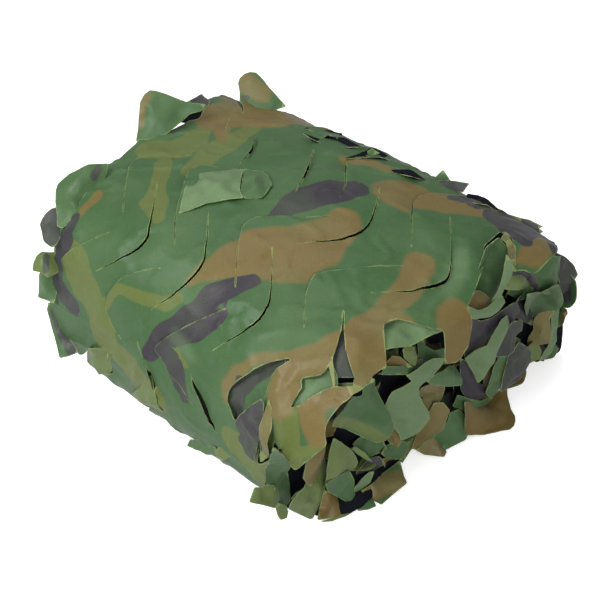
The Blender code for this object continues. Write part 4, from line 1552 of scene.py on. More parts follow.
# ---------------------------------------------------------------- finishes
@dataclass(frozen=True)
class PrintedCloth:
    """Coated cloth with the woodland print, a faint weave, wear, light cut edges and painted sheen."""

    name: str = "woodland_cloth"
    ground: tuple = linear(52, 80, 46)
    olive: tuple = linear(80, 90, 44)
    tan: tuple = linear(96, 82, 46)
    dark: tuple = linear(46, 43, 48)
    edge: tuple = linear(118, 132, 80)
    # pale colour of the painted sheen, also used for worn patches
    sheen_and_wear: tuple = linear(98, 118, 84)
    roughness: float = 0.46
    bump: float = 0.25
    threads: float = 900.0

    def build(self) -> bpy.types.Material:
        """Make the material."""
        material = bpy.data.materials.new(self.name)
        material.use_nodes = True
        board = Board(material.node_tree)
        shader = material.node_tree.nodes["Principled BSDF"]
        flat = board.add("ShaderNodeUVMap", uv_map="cloth").outputs["UV"]
        ink = board.add("ShaderNodeGroup", node_tree=bpy.data.node_groups["woodland_print"])
        ink.inputs["Ground"].default_value = self.ground
        for tone in Tone:
            ink.inputs[tone.name.title()].default_value = getattr(self, tone.value)
            value = board.add("ShaderNodeAttribute", attribute_name="print_" + tone.value)
            board.join(value.outputs["Fac"], ink.inputs[tone.name.title() + " Distance"])
        wear = board.add("ShaderNodeGroup", node_tree=bpy.data.node_groups["handling_wear"])
        board.join(flat, wear.inputs["Flat"])
        edge = board.add("ShaderNodeAttribute", attribute_name="edge_distance")
        board.join(edge.outputs["Fac"], wear.inputs["Edge Distance"])
        weave = board.add("ShaderNodeGroup", node_tree=bpy.data.node_groups["cloth_weave"])
        board.join(flat, weave.inputs["Flat"])
        weave.inputs["Threads"].default_value = self.threads
        # painted sheen: the pale attribute mixes the print toward the pale colour
        pale = board.add("ShaderNodeAttribute", attribute_name="pale")
        share = board.maths("MULTIPLY", board.ramp(pale.outputs["Fac"], 0.0, 1.0), 0.75)
        colour = board.mix(share, ink.outputs["Color"], self.sheen_and_wear)
        # worn patches of the cloth, lighter toward the same colour
        patches = board.maths("MULTIPLY", wear.outputs["Patches"], 0.14)
        colour = board.mix(patches, colour, self.sheen_and_wear)
        slubs = board.maths("MULTIPLY", weave.outputs["Shade"], 0.16)
        colour = board.mix(slubs, colour, (0.02, 0.03, 0.02, 1.0), "MULTIPLY")
        creases = board.maths("MULTIPLY", wear.outputs["Creases"], 0.04)
        colour = board.mix(creases, colour, self.edge)
        colour = board.mix(board.maths("MULTIPLY", wear.outputs["Edge"], 0.50), colour, self.edge)
        board.join(colour, shader.inputs["Base Color"])
        rough = board.maths("MULTIPLY_ADD", wear.outputs["Patches"], 0.10)
        rough.node.inputs[2].default_value = self.roughness - 0.04
        board.join(rough, shader.inputs["Roughness"])
        relief = board.add("ShaderNodeBump")
        relief.inputs["Strength"].default_value = self.bump
        relief.inputs["Distance"].default_value = 0.0002
        creased = board.maths("MULTIPLY", wear.outputs["Creases"], 0.8)
        board.join(board.maths("ADD", weave.outputs["Height"], creased), relief.inputs["Height"])
        board.join(relief.outputs["Normal"], shader.inputs["Normal"])
        shader.inputs["Specular IOR Level"].default_value = 0.20
        shader.inputs["Sheen Weight"].default_value = 0.04
        shader.inputs["Sheen Roughness"].default_value = 0.40
        material.diffuse_color = self.ground
        return material


@dataclass(frozen=True)
class CutEdge:
    """Cut edge of the cloth: bare, lighter threads with uneven fray."""

    name: str = "cut_edge"
    light: tuple = linear(104, 118, 76)
    deep: tuple = linear(58, 70, 42)
    roughness: float = 0.75

    def build(self) -> bpy.types.Material:
        """Make the material."""
        material = bpy.data.materials.new(self.name)
        material.use_nodes = True
        board = Board(material.node_tree)
        shader = material.node_tree.nodes["Principled BSDF"]
        place = board.add("ShaderNodeTexCoord").outputs["Object"]
        fray = board.add("ShaderNodeTexNoise")
        board.join(place, fray.inputs["Vector"])
        fray.inputs["Scale"].default_value = 260.0
        fray.inputs["Detail"].default_value = 2.0
        share = board.ramp(fray.outputs["Fac"], 0.35, 0.65)
        board.join(board.mix(share, self.deep, self.light), shader.inputs["Base Color"])
        relief = board.add("ShaderNodeBump")
        relief.inputs["Strength"].default_value = 0.5
        relief.inputs["Distance"].default_value = 0.0003
        board.join(fray.outputs["Fac"], relief.inputs["Height"])
        board.join(relief.outputs["Normal"], shader.inputs["Normal"])
        shader.inputs["Roughness"].default_value = self.roughness
        material.diffuse_color = self.light
        return material


@dataclass(frozen=True)
class StringFinish:
    """Black backing of twisted string, shown as flat bits with a slanting ripple, and dark enough to paint
    the shade of the gaps.
    """

    name: str = "black_string"
    # black set deep enough to stand for the shade in the hollows
    black: tuple = linear(9, 10, 15)
    worn: tuple = linear(20, 23, 30)
    roughness: float = 0.8
    specular: float = 0.08
    twist: float = 900.0

    def build(self) -> bpy.types.Material:
        """Make the material."""
        material = bpy.data.materials.new(self.name)
        material.use_nodes = True
        board = Board(material.node_tree)
        shader = material.node_tree.nodes["Principled BSDF"]
        flat = board.add("ShaderNodeUVMap", uv_map="cloth").outputs["UV"]
        parts = board.add("ShaderNodeSeparateXYZ")
        board.join(flat, parts.inputs[0])
        slant = board.maths("ADD", parts.outputs["X"], parts.outputs["Y"])
        turns = board.maths("SINE", board.maths("MULTIPLY", slant, self.twist * 2.0 * math.pi), 0.0)
        share = board.ramp(turns, -0.4, 0.9)
        board.join(board.mix(share, self.black, self.worn), shader.inputs["Base Color"])
        relief = board.add("ShaderNodeBump")
        relief.inputs["Strength"].default_value = 0.6
        relief.inputs["Distance"].default_value = 0.0003
        board.join(turns, relief.inputs["Height"])
        board.join(relief.outputs["Normal"], shader.inputs["Normal"])
        shader.inputs["Roughness"].default_value = self.roughness
        shader.inputs["Specular IOR Level"].default_value = self.specular
        material.diffuse_color = self.black
        return material


# ---------------------------------------------------------------- the folded cloth
@dataclass
class NetCloth:
    """The whole folded sheet, as one piece."""

    section: FoldedSection
    printing: WoodlandPrint
    layout: Layout
    thickness: float = 0.0007
    sharp: float = 48.0
    sheen_share: float = 0.45
    flat: tuple = field(init=False)
    area: float = field(init=False)

    def build(self) -> bpy.types.Object:
        """Cut the sheet flat, fold it and dress it.

        Returns:
            The finished piece.
        """
        sheet = FlatSheet(self.section, self.layout)
        net = FoldedNet(self.section, self.layout.pleats, sheet.slits, sheet.leaves)
        places = net.place(sheet.points)
        marks = self.printing.marks(sheet.points)
        marks["edge_distance"] = np.where(sheet.rim, 0.0, EDGE_REACH)
        # painted sheen, which the material reads from the pale attribute
        marks["pale"] = self.painted_sheen(sheet.points)
        piece = surface("net_cloth", places, sheet.faces, sheet.points, marks)
        piece.data.materials.append(bpy.data.materials["woodland_cloth"])
        piece.data.materials.append(bpy.data.materials["cut_edge"])
        thickened(piece, self.thickness, self.sharp)
        self.flat = (float(np.ptp(sheet.points[:, 1])), float(np.ptp(sheet.points[:, 0])))
        self.area = sheet.area()
        return piece

    def painted_sheen(self, points: Array) -> Array:
        """Share of painted sheen on the cloth: full inside a sheen stroke, none 10 mm past it."""
        best = np.full(len(points), 1.0)
        for stroke in self.layout.sheen_and_wear:
            best = np.minimum(best, stroke.distance(points))
        return self.sheen_share * (1.0 - smooth_step(best, -0.003, 0.010))


# ---------------------------------------------------------------- loose leaves
class Shade(Enum):
    """Part of the print that a loose leaf was cut from: bias of olive, tan and dark, and share of painted
    sheen.
    """

    GREEN = (-0.9, -0.9, -0.9, 0.25)
    # green with strong painted sheen, for leaves that face the light
    PALE = (-0.8, -0.9, -0.9, 0.80)
    OLIVE = (1.5, -0.8, -0.9, 0.35)
    # olive with painted sheen, for a lit olive leaf
    STRAW = (1.5, -0.8, -0.9, 0.30)
    TAN = (-0.5, 1.5, -0.9, 0.25)
    BROWN = (-0.5, 1.5, -0.9, 0.0)
    DARK = (-0.5, -0.5, 1.5, 0.0)
    MIXED = (0.0, 0.0, 0.0, 0.0)
    # green with painted sheen, for the lit patch under the star-shaped hole
    STAR = (-0.8, -0.8, -0.8, 0.45)


@dataclass(frozen=True)
class TornLeaf:
    """A loose leaf in space, by the marks of its rim in millimetres.

    Marks are (x, y, z), or with a tilt only (y, z) on the plane x = start + a y + b z. The
    bulge is how far the middle stands out of the rim, in millimetres. Each hem is a printed
    band: a tone, a half width and the marks of its line.
    """

    shade: Shade
    bulge: float
    rim: tuple
    hems: tuple = ()
    tilt: tuple = ()

    def spread(self, marks: tuple) -> Array:
        """Marks in space in metres, from marks as the leaf gives them."""
        flat = np.array(marks, dtype=float)
        if self.tilt:
            start, by_y, by_z = self.tilt
            flat = np.column_stack([start + by_y * flat[:, 0] + by_z * flat[:, 1], flat])
        return flat * MM


class Mount(Enum):
    """What holds a leaf that is laid out in the camera's picture."""

    END = "the plane of the right end, with the depth out of it"
    CLOTH = "the cloth, with the depth behind it"
    UPRIGHT = "a plane that rises from the cloth at the root"


@dataclass(frozen=True)
class SeenLeaf:
    """A loose leaf as the camera sees it, with marks (across, down) in pixels.

    The depth is in millimetres at the middle of the rim, and the slope is its change per
    pixel across and down. A leaf of the end that is not steady leans a little more, by a
    chance that its name sets.
    """

    name: str
    shade: Shade
    depth: float
    bulge: float
    rim: tuple
    hems: tuple = ()
    slope: tuple = (0.0, 0.0)
    steady: bool = False
    mount: Mount = Mount.END
    root: tuple = ()

    def depths(self, pixels: tuple) -> Array:
        """Depth of the leaf under each pixel, in millimetres."""
        slope = np.array(self.slope, dtype=float)
        if self.mount is Mount.END and not self.steady:
            draw = np.frombuffer(hashlib.md5(self.name.encode()).digest()[:2], dtype=np.uint8) / 255 - 0.5
            slope += draw * np.array([0.5, 0.3])
        middle = np.mean(np.array(self.rim, dtype=float), axis=0)
        return self.depth + (np.array(pixels, dtype=float) - middle) @ slope


HANGING = (
    SeenLeaf("tube roll", Shade.GREEN, -4, -10, (
        (486, 248), (500, 238), (509, 250), (510, 262), (506, 276), (501, 291), (495, 304), (486, 301),
        (471, 293), (473, 280), (480, 264),
    )),
    SeenLeaf("tube strip", Shade.TAN, 6, 0, (
        (501, 238), (505, 231), (510, 237), (515, 248), (516, 264), (510, 271), (508, 260), (508, 250),
        (505, 243),
    )),
    SeenLeaf("edge strip", Shade.PALE, 9, 0, (
        (508, 256), (513, 262), (511, 273), (506, 286), (500, 301), (493, 307), (489, 304), (496, 292),
        (501, 278), (505, 266),
    )),
    SeenLeaf("brown inside", Shade.BROWN, 0, -3, (
        (468, 286), (480, 291), (487, 296), (493, 301), (488, 308), (478, 313), (468, 312), (462, 303),
    )),
    SeenLeaf("crescent", Shade.PALE, 9, 2, (
        (468, 306), (478, 311), (488, 307), (497, 299), (503, 296), (506, 303), (500, 311), (492, 317),
        (482, 319), (474, 319), (467, 313),
    )),
    SeenLeaf("charcoal curl", Shade.DARK, 5, 2, (
        (508, 270), (518, 268), (528, 270), (536, 277), (539, 286), (537, 293), (531, 288), (527, 280),
        (520, 276), (511, 277),
    )),
    SeenLeaf("curled olive", Shade.OLIVE, 8, 3, (
        (509, 275), (518, 275), (526, 278), (532, 284), (533, 287), (522, 290), (506, 290), (507, 282),
    ), slope=(0, 0.2)),
    SeenLeaf("olive under", Shade.GREEN, 1, 0, (
        (506, 287), (520, 287), (533, 286), (528, 295), (518, 299), (507, 297),
    ), slope=(0, -0.6)),
    SeenLeaf("green upper right", Shade.GREEN, -2, 2, (
        (549, 254), (560, 255), (560, 266), (559, 276), (562, 288), (556, 292), (546, 293), (534, 292),
        (536, 283), (529, 274), (538, 269), (546, 261),
    ), slope=(-0.3, 0.1), steady=True),
    SeenLeaf("charcoal side", Shade.DARK, -8, 3, (
        (555, 253), (568, 258), (573.5, 264), (574.5, 272), (572, 285), (569, 297), (561, 305), (557, 296),
        (557, 287), (555, 275), (554, 265),
    )),
    SeenLeaf("dark band", Shade.GREEN, 2, -5, (
        (524, 289), (540, 290), (552, 287), (560, 286), (562.5, 295), (562.5, 301), (556, 309), (550, 313),
        (540, 317), (528, 320), (522, 305),
    ), slope=(0, -0.7)),
    SeenLeaf("dark left", Shade.DARK, -6, 0, (
        (510, 293), (530, 288), (530, 305), (526, 320), (516, 318), (510, 306),
    ), slope=(0, -0.3)),
    SeenLeaf("tan right", Shade.TAN, 4, 2, (
        (556, 309), (550, 318), (550, 330), (549, 342), (538, 345), (526, 348), (528, 338), (533, 330),
        (533, 320), (540, 312),
    ), slope=(0.5, 0), steady=True),
    SeenLeaf("olive small", Shade.OLIVE, 1, 0, (
        (525, 344), (538, 342), (541, 350), (538, 358), (531, 364), (525, 357),
    )),
    SeenLeaf("right strip", Shade.PALE, -2, 0, (
        (563, 302), (560, 315), (556, 328), (553.5, 342), (551, 352), (546, 359), (540, 361), (546, 348),
        (549, 332), (551, 318), (555, 307),
    )),
    SeenLeaf("green knob", Shade.GREEN, -5, 3, (
        (549, 339), (553, 341.5), (557, 346), (557, 352), (553, 356), (546, 360), (543, 356), (547, 350),
    ), slope=(0, -0.3)),
    SeenLeaf("knob dark", Shade.DARK, -9, 0, (
        (536, 342), (550, 340), (548, 352), (542, 360), (534, 359),
    )),
    SeenLeaf("charcoal upper", Shade.DARK, 1, 3, (
        (464, 314), (472, 318), (480, 320), (490, 317), (500, 311), (510, 304), (516, 300), (519, 310),
        (514, 320), (502, 327), (490, 337), (478, 348), (464, 360), (462, 340),
    )),
    SeenLeaf("long green", Shade.PALE, 10, 2, (
        (512, 319), (503, 323), (494, 331), (483, 341), (473, 350), (466.5, 360), (471, 368), (476, 376),
        (480, 385), (485, 376), (488, 364), (493, 352), (500, 344), (508, 335), (514, 327),
    ), slope=(0.2, 0.1), steady=True),
    SeenLeaf("charcoal band", Shade.DARK, 8, 0, (
        (511, 319), (520, 318), (522, 331), (517, 339), (513, 350), (504, 354), (491, 355), (496, 344),
        (505, 333),
    )),
    SeenLeaf("green side rim", Shade.GREEN, 6, 1, (
        (513, 336), (522, 340), (521, 347), (514, 360), (506, 378), (500, 389), (492, 399), (485, 393),
        (489, 379), (494, 366), (500, 357), (507, 350),
    ), hems=(
        (Tone.OLIVE, 2.5, ((517, 340), (510, 353), (502, 368), (496, 384))),
    ), slope=(-0.2, 0.1), steady=True),
    SeenLeaf("tan strip", Shade.TAN, 3, 0, (
        (485, 366), (494, 362), (498, 366), (494, 379), (491, 394), (483, 387), (482, 376),
    )),
    SeenLeaf("charcoal flap", Shade.DARK, 10, 3, (
        (518, 341), (526, 346), (530, 352), (531, 360), (528, 368), (522, 380), (510, 385), (503, 388.5),
        (496, 390), (502, 376), (510, 360),
    )),
    SeenLeaf("charcoal strip", Shade.DARK, 5, 2, (
        (459, 356), (466, 361), (475, 376), (480, 385), (486, 384), (488, 391), (484, 397), (476, 400),
        (466, 399), (461, 390),
    )),
    SeenLeaf("green band", Shade.GREEN, 5, 0, (
        (460, 396), (470, 399), (480, 399), (490, 397), (495, 400), (488, 405), (478, 408), (464, 410),
        (454, 407),
    )),
    SeenLeaf("floor flap", Shade.BROWN, 4, 3, (
        (458, 408), (475, 404), (487, 401), (495, 394), (503, 386.5), (505, 390), (506.5, 397), (511, 409),
        (515, 416), (516.5, 421), (515, 426), (511, 430), (500, 432), (480, 435.5), (462, 439), (460, 430),
        (460, 420),
    ), slope=(0, 0.35)),
    SeenLeaf("green low leaf", Shade.GREEN, 11, 3, (
        (450, 412), (460, 409), (466, 416), (469, 425), (468, 432), (463, 439), (456, 445), (448, 451),
        (444, 454), (439, 447), (434, 439), (440, 429), (446, 419),
    ), hems=(
        (Tone.OLIVE, 2, ((464, 414), (468.5, 425), (464, 437))),
    ), slope=(0, 0.1)),
    SeenLeaf("brown tip", Shade.TAN, 7, 2, (
        (433, 430), (438, 437), (442, 445), (446.5, 452), (443, 456), (425, 455.5), (418, 451), (425, 443),
        (429, 437),
    )),
    SeenLeaf("brown fold", Shade.BROWN, 9, 3, (
        (434, 402), (443, 403), (449, 410), (447, 418), (442, 429), (434, 434), (427, 441), (419, 450),
        (412, 449.5), (416, 440), (416, 431), (424, 421), (430, 410),
    ), slope=(0.4, 0), steady=True),
    SeenLeaf("tan petal", Shade.TAN, 5, 4, (
        (415, 391), (419, 384), (428, 381), (440, 381), (450, 382), (447, 391), (442, 399), (436, 406),
        (428, 416), (423, 408), (425, 399), (419, 396),
    ), slope=(0, -0.1)),
    SeenLeaf("second shelf", Shade.GREEN, 10, 2, (
        (429, 381), (439, 372), (447, 367), (456, 366), (461, 374), (463, 381), (459, 386), (450, 386.5),
        (437, 385),
    ), slope=(0, 0.3)),
    SeenLeaf("shelf", Shade.GREEN, 6, 0, (
        (383, 366), (400, 366), (412, 363), (424, 358), (425, 370), (410, 375), (398, 375), (383, 375),
    ), slope=(0, 0.4)),
    SeenLeaf("hourglass", Shade.PALE, 9, 3, (
        (404, 373), (416, 368), (424, 362), (434, 359), (447, 360), (442, 369), (432, 377), (423, 381),
        (417, 386), (417, 392), (421, 401), (426, 410), (427.5, 416), (424, 421), (421, 426), (417, 432),
        (408, 438), (402, 442), (399, 434), (393, 427), (388, 420), (386, 410), (388, 398), (392, 391),
        (403, 385), (410, 379),
    ), hems=(
        (Tone.OLIVE, 3, ((426, 411), (422, 423), (414, 434))),
        (Tone.OLIVE, 2, ((391, 392), (389, 412))),
    ), slope=(0.2, 0.1), steady=True),
    SeenLeaf("grey flap", Shade.PALE, 5, 1, (
        (380, 320), (392, 315), (404, 315), (424, 320), (446, 326), (442, 333), (432, 335), (420, 340),
        (410, 346), (396, 349), (380, 353),
    ), mount=Mount.CLOTH),
    SeenLeaf("hole leaf", Shade.GREEN, -6, 0, (
        (419, 342), (425, 338), (426, 346), (434, 350), (446, 346), (448, 362), (436, 365), (424, 367),
        (414, 366), (418, 352),
    ), slope=(0, 0.3)),
    SeenLeaf("small olive", Shade.OLIVE, 3, 1, (
        (402, 350), (408, 345), (415, 348), (417, 357), (416, 366), (410, 364), (404, 358),
    )),
    SeenLeaf("small brown", Shade.BROWN, 2, 0, (
        (385, 363), (392, 356), (400, 357), (406, 362), (412, 367), (400, 369), (385, 371),
    ), slope=(0, 0.3)),
    SeenLeaf("green petal", Shade.GREEN, 8, 4, (
        (338, 411), (349, 398), (362, 388), (371, 382), (377, 379), (381, 391), (385, 405), (388, 415),
        (389, 424), (385, 433), (380, 438.5), (373, 441), (362, 437), (350, 432), (340, 428), (329, 425),
        (331, 417),
    ), hems=(
        (Tone.OLIVE, 5, ((332, 421), (350, 424), (366, 430), (380, 438))),
    ), slope=(0, 0.1)),
    SeenLeaf("grey leaf", Shade.GREEN, -2, 0, (
        (350, 441), (360, 436), (372, 439), (382, 438), (385, 447), (378, 453), (370, 458.5), (361, 454),
        (353, 448),
    )),
    SeenLeaf("knot cup", Shade.BROWN, 4, -3, (
        (385, 437), (389, 428), (396, 426), (401, 433), (401, 441), (396, 446), (390, 443),
    )),
    SeenLeaf("knot low", Shade.GREEN, 3, 1, (
        (379, 452), (387, 446), (395, 444), (402, 439), (405, 445), (401, 459), (387, 459),
    )),
    SeenLeaf("under hourglass", Shade.OLIVE, -2, 0, (
        (400, 443), (418, 431), (418, 440), (413, 451), (401, 461), (396, 457),
    ), slope=(0, -0.3)),
    SeenLeaf("small pink", Shade.BROWN, 1, 0, (
        (383, 459), (397, 458), (395, 464), (388, 469), (383, 466),
    )),
    SeenLeaf("tan quad", Shade.GREEN, 11, 2, (
        (360, 492), (372, 483), (384, 472), (392, 466), (400, 460), (401, 471), (402.5, 477), (406, 484),
        (395, 493), (382, 505), (375, 501.5), (367, 497),
    ), hems=(
        (Tone.TAN, 11, ((368, 494), (384, 486), (402, 482))),
    ), slope=(0, 0.1)),
    SeenLeaf("pale strip", Shade.PALE, 14, 0, (
        (353, 487), (362, 479), (371, 473), (375, 473), (368, 483), (361, 491), (355, 494),
    )),
    SeenLeaf("light leaf", Shade.STRAW, 12, 3, (
        (336, 440), (343, 444), (351, 449), (356, 455), (358.5, 462), (356, 467), (349, 472), (338, 478),
        (325, 485), (327, 470), (331, 455),
    ), steady=True),
    SeenLeaf("dark green leaf", Shade.GREEN, 13, 0, (
        (325, 484), (338, 476), (350, 471), (354, 480), (353, 490), (356, 500), (357, 510), (350, 505.5),
        (344, 501), (335, 496), (327, 491),
    ), slope=(0, -0.1), steady=True),
    SeenLeaf("floor tan", Shade.BROWN, 5, 2, (
        (325, 489), (334, 496), (344, 502), (347, 510), (340, 516), (328, 519), (317, 519.5), (320, 508),
        (323, 498),
    ), slope=(0, 0.2)),
    SeenLeaf("low olive rim", Shade.OLIVE, 7, 0, (
        (320, 521.5), (338, 516), (348, 510), (357, 505), (355, 510), (344, 517), (332, 521),
    )),
    SeenLeaf("low dark bit", Shade.GREEN, 6, 1, (
        (357, 500), (364, 494), (373, 499), (377, 506), (368, 509), (358, 510),
    )),
    SeenLeaf("low fold", Shade.DARK, 5, 2, (
        (355, 470), (368, 462), (380, 456), (384, 462), (374, 470), (358, 480),
    )),
    SeenLeaf("low seam", Shade.GREEN, 4, 1, (
        (356, 447), (364, 452), (372, 460), (366, 459), (358, 455), (350, 448),
    )),
    SeenLeaf("olive floor leaf", Shade.OLIVE, 5, 3, (
        (318, 457), (325, 452), (326, 468), (326, 482), (323.5, 497), (317, 519), (313, 520.5),
        (300, 514.5), (287, 508), (290, 499), (296, 492), (302, 487), (306, 480), (311, 483), (315, 473),
    ), slope=(0, 0.15)),
    SeenLeaf("brown strip", Shade.BROWN, 9, 2, (
        (307, 460), (316, 450), (326, 443), (323, 456), (319, 470), (313.5, 481), (311, 486.5), (307, 484),
        (303, 478), (305, 469),
    ), hems=(
        (Tone.OLIVE, 2, ((305, 466), (304, 478), (311, 486))),
    )),
    SeenLeaf("shaded leaf", Shade.GREEN, -3, 0, (
        (270, 438), (281, 449), (291, 463), (290, 475), (293, 485), (291, 500), (283, 507), (274, 501),
        (276, 490), (268, 485), (270, 470),
    ), slope=(0, -0.5)),
    SeenLeaf("floor olive", Shade.OLIVE, -6, 1, (
        (257, 487), (251, 502.5), (262, 505), (276, 509), (281, 500), (272, 484), (262, 487),
    ), slope=(0, 0.2)),
    SeenLeaf("floor tip", Shade.OLIVE, -3, 0, (
        (272, 501), (281, 521.5), (288, 519), (289.5, 513), (287, 507), (281, 503),
    ), slope=(0, 0.2)),
    SeenLeaf("thin bit", Shade.PALE, 3, 0, (
        (289, 499), (295, 493), (305, 488), (303, 492), (296, 497),
    )),
    SeenLeaf("star patch", Shade.STAR, 3.6, 1, (
        (297, 371), (316, 371), (331, 360), (338, 376), (338, 391), (322, 396), (305, 405), (290, 411),
        (292, 396),
    ), mount=Mount.CLOTH),
    SeenLeaf("triangle dark", Shade.DARK, 6, 1, (
        (341, 314), (337, 338), (328, 362), (330, 378), (355, 378), (358, 372), (351, 356), (346, 335),
    ), mount=Mount.CLOTH),
    SeenLeaf("triangle olive", Shade.OLIVE, 10, 0, (
        (328, 393), (331, 384), (357, 383), (360, 391), (345, 396),
    ), mount=Mount.CLOTH),
    SeenLeaf("slit patch", Shade.GREEN, 6, 0, (
        (290, 357), (272, 357), (257, 361), (243, 369), (228, 380), (222, 392), (223, 406), (232, 425),
        (250, 418), (270, 403), (274, 387), (281, 373),
    ), hems=(
        (Tone.DARK, 9, ((288, 360), (268, 367), (250, 376), (238, 390), (238, 410))),
    ), mount=Mount.CLOTH),
    SeenLeaf("left floor flap", Shade.OLIVE, -1, 0, (
        (83, 365), (82, 358), (86, 352), (91, 345), (108, 348), (111, 360), (110.5, 373.5), (96, 370),
    ), mount=Mount.CLOTH),
    SeenLeaf("dark left leaf", Shade.GREEN, 0, 2, (
        (46.5, 310), (49, 303), (54, 304), (61, 320), (66, 333), (74, 344), (80, 353), (70, 357), (60, 359),
        (56, 345), (51, 327),
    ), hems=(
        (Tone.DARK, 7, ((57, 312), (63, 332), (74, 350))),
    ), mount=Mount.UPRIGHT, root=(60, 325)),
    SeenLeaf("green left leaf", Shade.GREEN, 0, 2, (
        (37.5, 297.5), (39, 290), (39.5, 275), (44, 268), (56, 266), (60, 280), (57, 292), (54, 304),
        (46, 300),
    ), mount=Mount.UPRIGHT, root=(54, 285)),
    SeenLeaf("olive left leaf", Shade.OLIVE, 0, 3, (
        (32.5, 270), (34, 263), (37, 256), (42, 252.5), (50, 252), (58, 250), (58, 272), (48, 278),
        (41, 273),
    ), hems=(
        (Tone.DARK, 3, ((47, 256), (46, 272))),
    ), mount=Mount.UPRIGHT, root=(55, 262)),
    SeenLeaf("black leaf", Shade.DARK, 0, 2, (
        (51, 248), (44, 241), (41, 232), (40, 224), (41.5, 218), (46, 212.5), (52, 209), (62, 206),
        (68, 216), (64, 232), (57, 247),
    ), mount=Mount.UPRIGHT, root=(60, 228)),
    SeenLeaf("left leaf", Shade.GREEN, 0, 5, (
        (57, 212), (55, 200), (55, 190), (57, 184), (63, 178), (70, 173), (80, 169), (88, 165), (95, 164),
        (108, 163), (106, 173), (100, 184), (92, 192), (85, 203), (80, 212), (73, 221), (62, 228.5),
        (57, 226),
    ), hems=(
        (Tone.DARK, 3.5, ((99, 167), (94, 178))),
    ), mount=Mount.UPRIGHT, root=(85, 192)),
    SeenLeaf("left flap", Shade.GREEN, 0, 5, (
        (136, 142), (138, 130), (138.5, 112), (140, 102), (144, 95), (150, 91), (155, 91.5), (165, 94),
        (180, 99), (188, 102), (206, 104), (201, 111), (190, 114), (179, 124), (166, 135), (150, 142),
    ), hems=(
        (Tone.TAN, 4, ((140, 125), (142, 108), (148, 96))),
    ), mount=Mount.UPRIGHT, root=(170, 134)),
    SeenLeaf("grey peak", Shade.DARK, 0, 0, (
        (185, 103.5), (193, 98), (199, 95), (202, 93.5), (205, 97), (210, 101), (207, 112), (197, 108),
    ), mount=Mount.UPRIGHT, root=(200, 106)),
    SeenLeaf("tan flap", Shade.GREEN, 0, 4, (
        (240, 102), (239, 92), (238, 84), (240, 78), (244, 74), (250, 71.5), (256, 73), (262, 79),
        (270, 88), (280, 100), (286, 106), (270, 112), (255, 110), (244, 106),
    ), hems=(
        (Tone.TAN, 11, ((246, 84), (262, 94))),
        (Tone.DARK, 3, ((242, 98), (248, 98))),
    ), mount=Mount.UPRIGHT, root=(258, 108)),
    SeenLeaf("rear peak", Shade.GREEN, 0, 0, (
        (364, 153), (372, 148), (380, 153), (374, 156),
    ), mount=Mount.UPRIGHT, root=(372, 153)),
    SeenLeaf("rear triangle", Shade.GREEN, 0, 0, (
        (433, 178), (443.5, 169.5), (451, 181), (442, 184),
    ), mount=Mount.UPRIGHT, root=(443, 182)),
    SeenLeaf("rear charcoal", Shade.DARK, 0, 0, (
        (419, 184.5), (430, 180.5), (442, 180), (455, 181), (470, 184), (466, 188), (463, 193), (450, 191),
        (435, 188),
    ), mount=Mount.UPRIGHT, root=(445, 186)),
    SeenLeaf("rear end bits", Shade.DARK, 0, 0, (
        (507, 214.5), (520, 217.5), (530, 219), (543.5, 227), (539, 228), (543.5, 231), (536, 236),
        (530, 232), (522, 223),
    ), mount=Mount.UPRIGHT, root=(530, 226)),
    SeenLeaf("flap c", Shade.PALE, -6, 5, (
        (185, 187), (191, 177), (200, 174), (219, 172), (232, 170), (243, 169.6), (241, 180), (240, 190),
        (243, 198.5), (234, 199.5), (222, 200), (207, 203), (194, 209), (178, 214), (181, 203),
    ), slope=(0.02, 0.15), mount=Mount.CLOTH),
    SeenLeaf("flap c right", Shade.GREEN, -4.5, 4, (
        (243.5, 169.8), (252, 170), (261, 170.5), (268, 176), (272, 184), (268, 192), (262, 198),
        (250, 198.5), (243, 198), (240.5, 190), (241.5, 180),
    ), slope=(0, 0.13), mount=Mount.CLOTH),
    SeenLeaf("second olive floor leaf", Shade.OLIVE, -2.5, 2, (
        (149, 377), (141, 386), (133, 393), (137, 403), (144, 409), (152, 411), (163, 412), (158, 399),
        (153, 386),
    ), mount=Mount.CLOTH),
    SeenLeaf("small olive floor bit", Shade.OLIVE, -2, 1, (
        (218, 446), (225, 449), (231, 456), (223, 459), (219, 463), (215, 457),
    ), mount=Mount.CLOTH),
    SeenLeaf("dark floor bit", Shade.GREEN, -2, 1, (
        (192, 438), (200, 440), (216, 447), (220, 455), (206, 455), (195, 451), (188, 446),
    ), mount=Mount.CLOTH),
    SeenLeaf("charcoal corner", Shade.DARK, -2.5, 2, (
        (233, 424), (240, 414), (252, 405), (264, 397), (266, 404), (262, 424), (258, 446), (257, 461),
        (247, 452), (238, 440),
    ), mount=Mount.CLOTH),
    SeenLeaf("corner strip two", Shade.TAN, -3, 2, (
        (267, 398), (271, 410), (272.5, 428), (271, 450), (268, 458), (259, 462), (261, 444), (265, 420),
    ), mount=Mount.CLOTH),
)
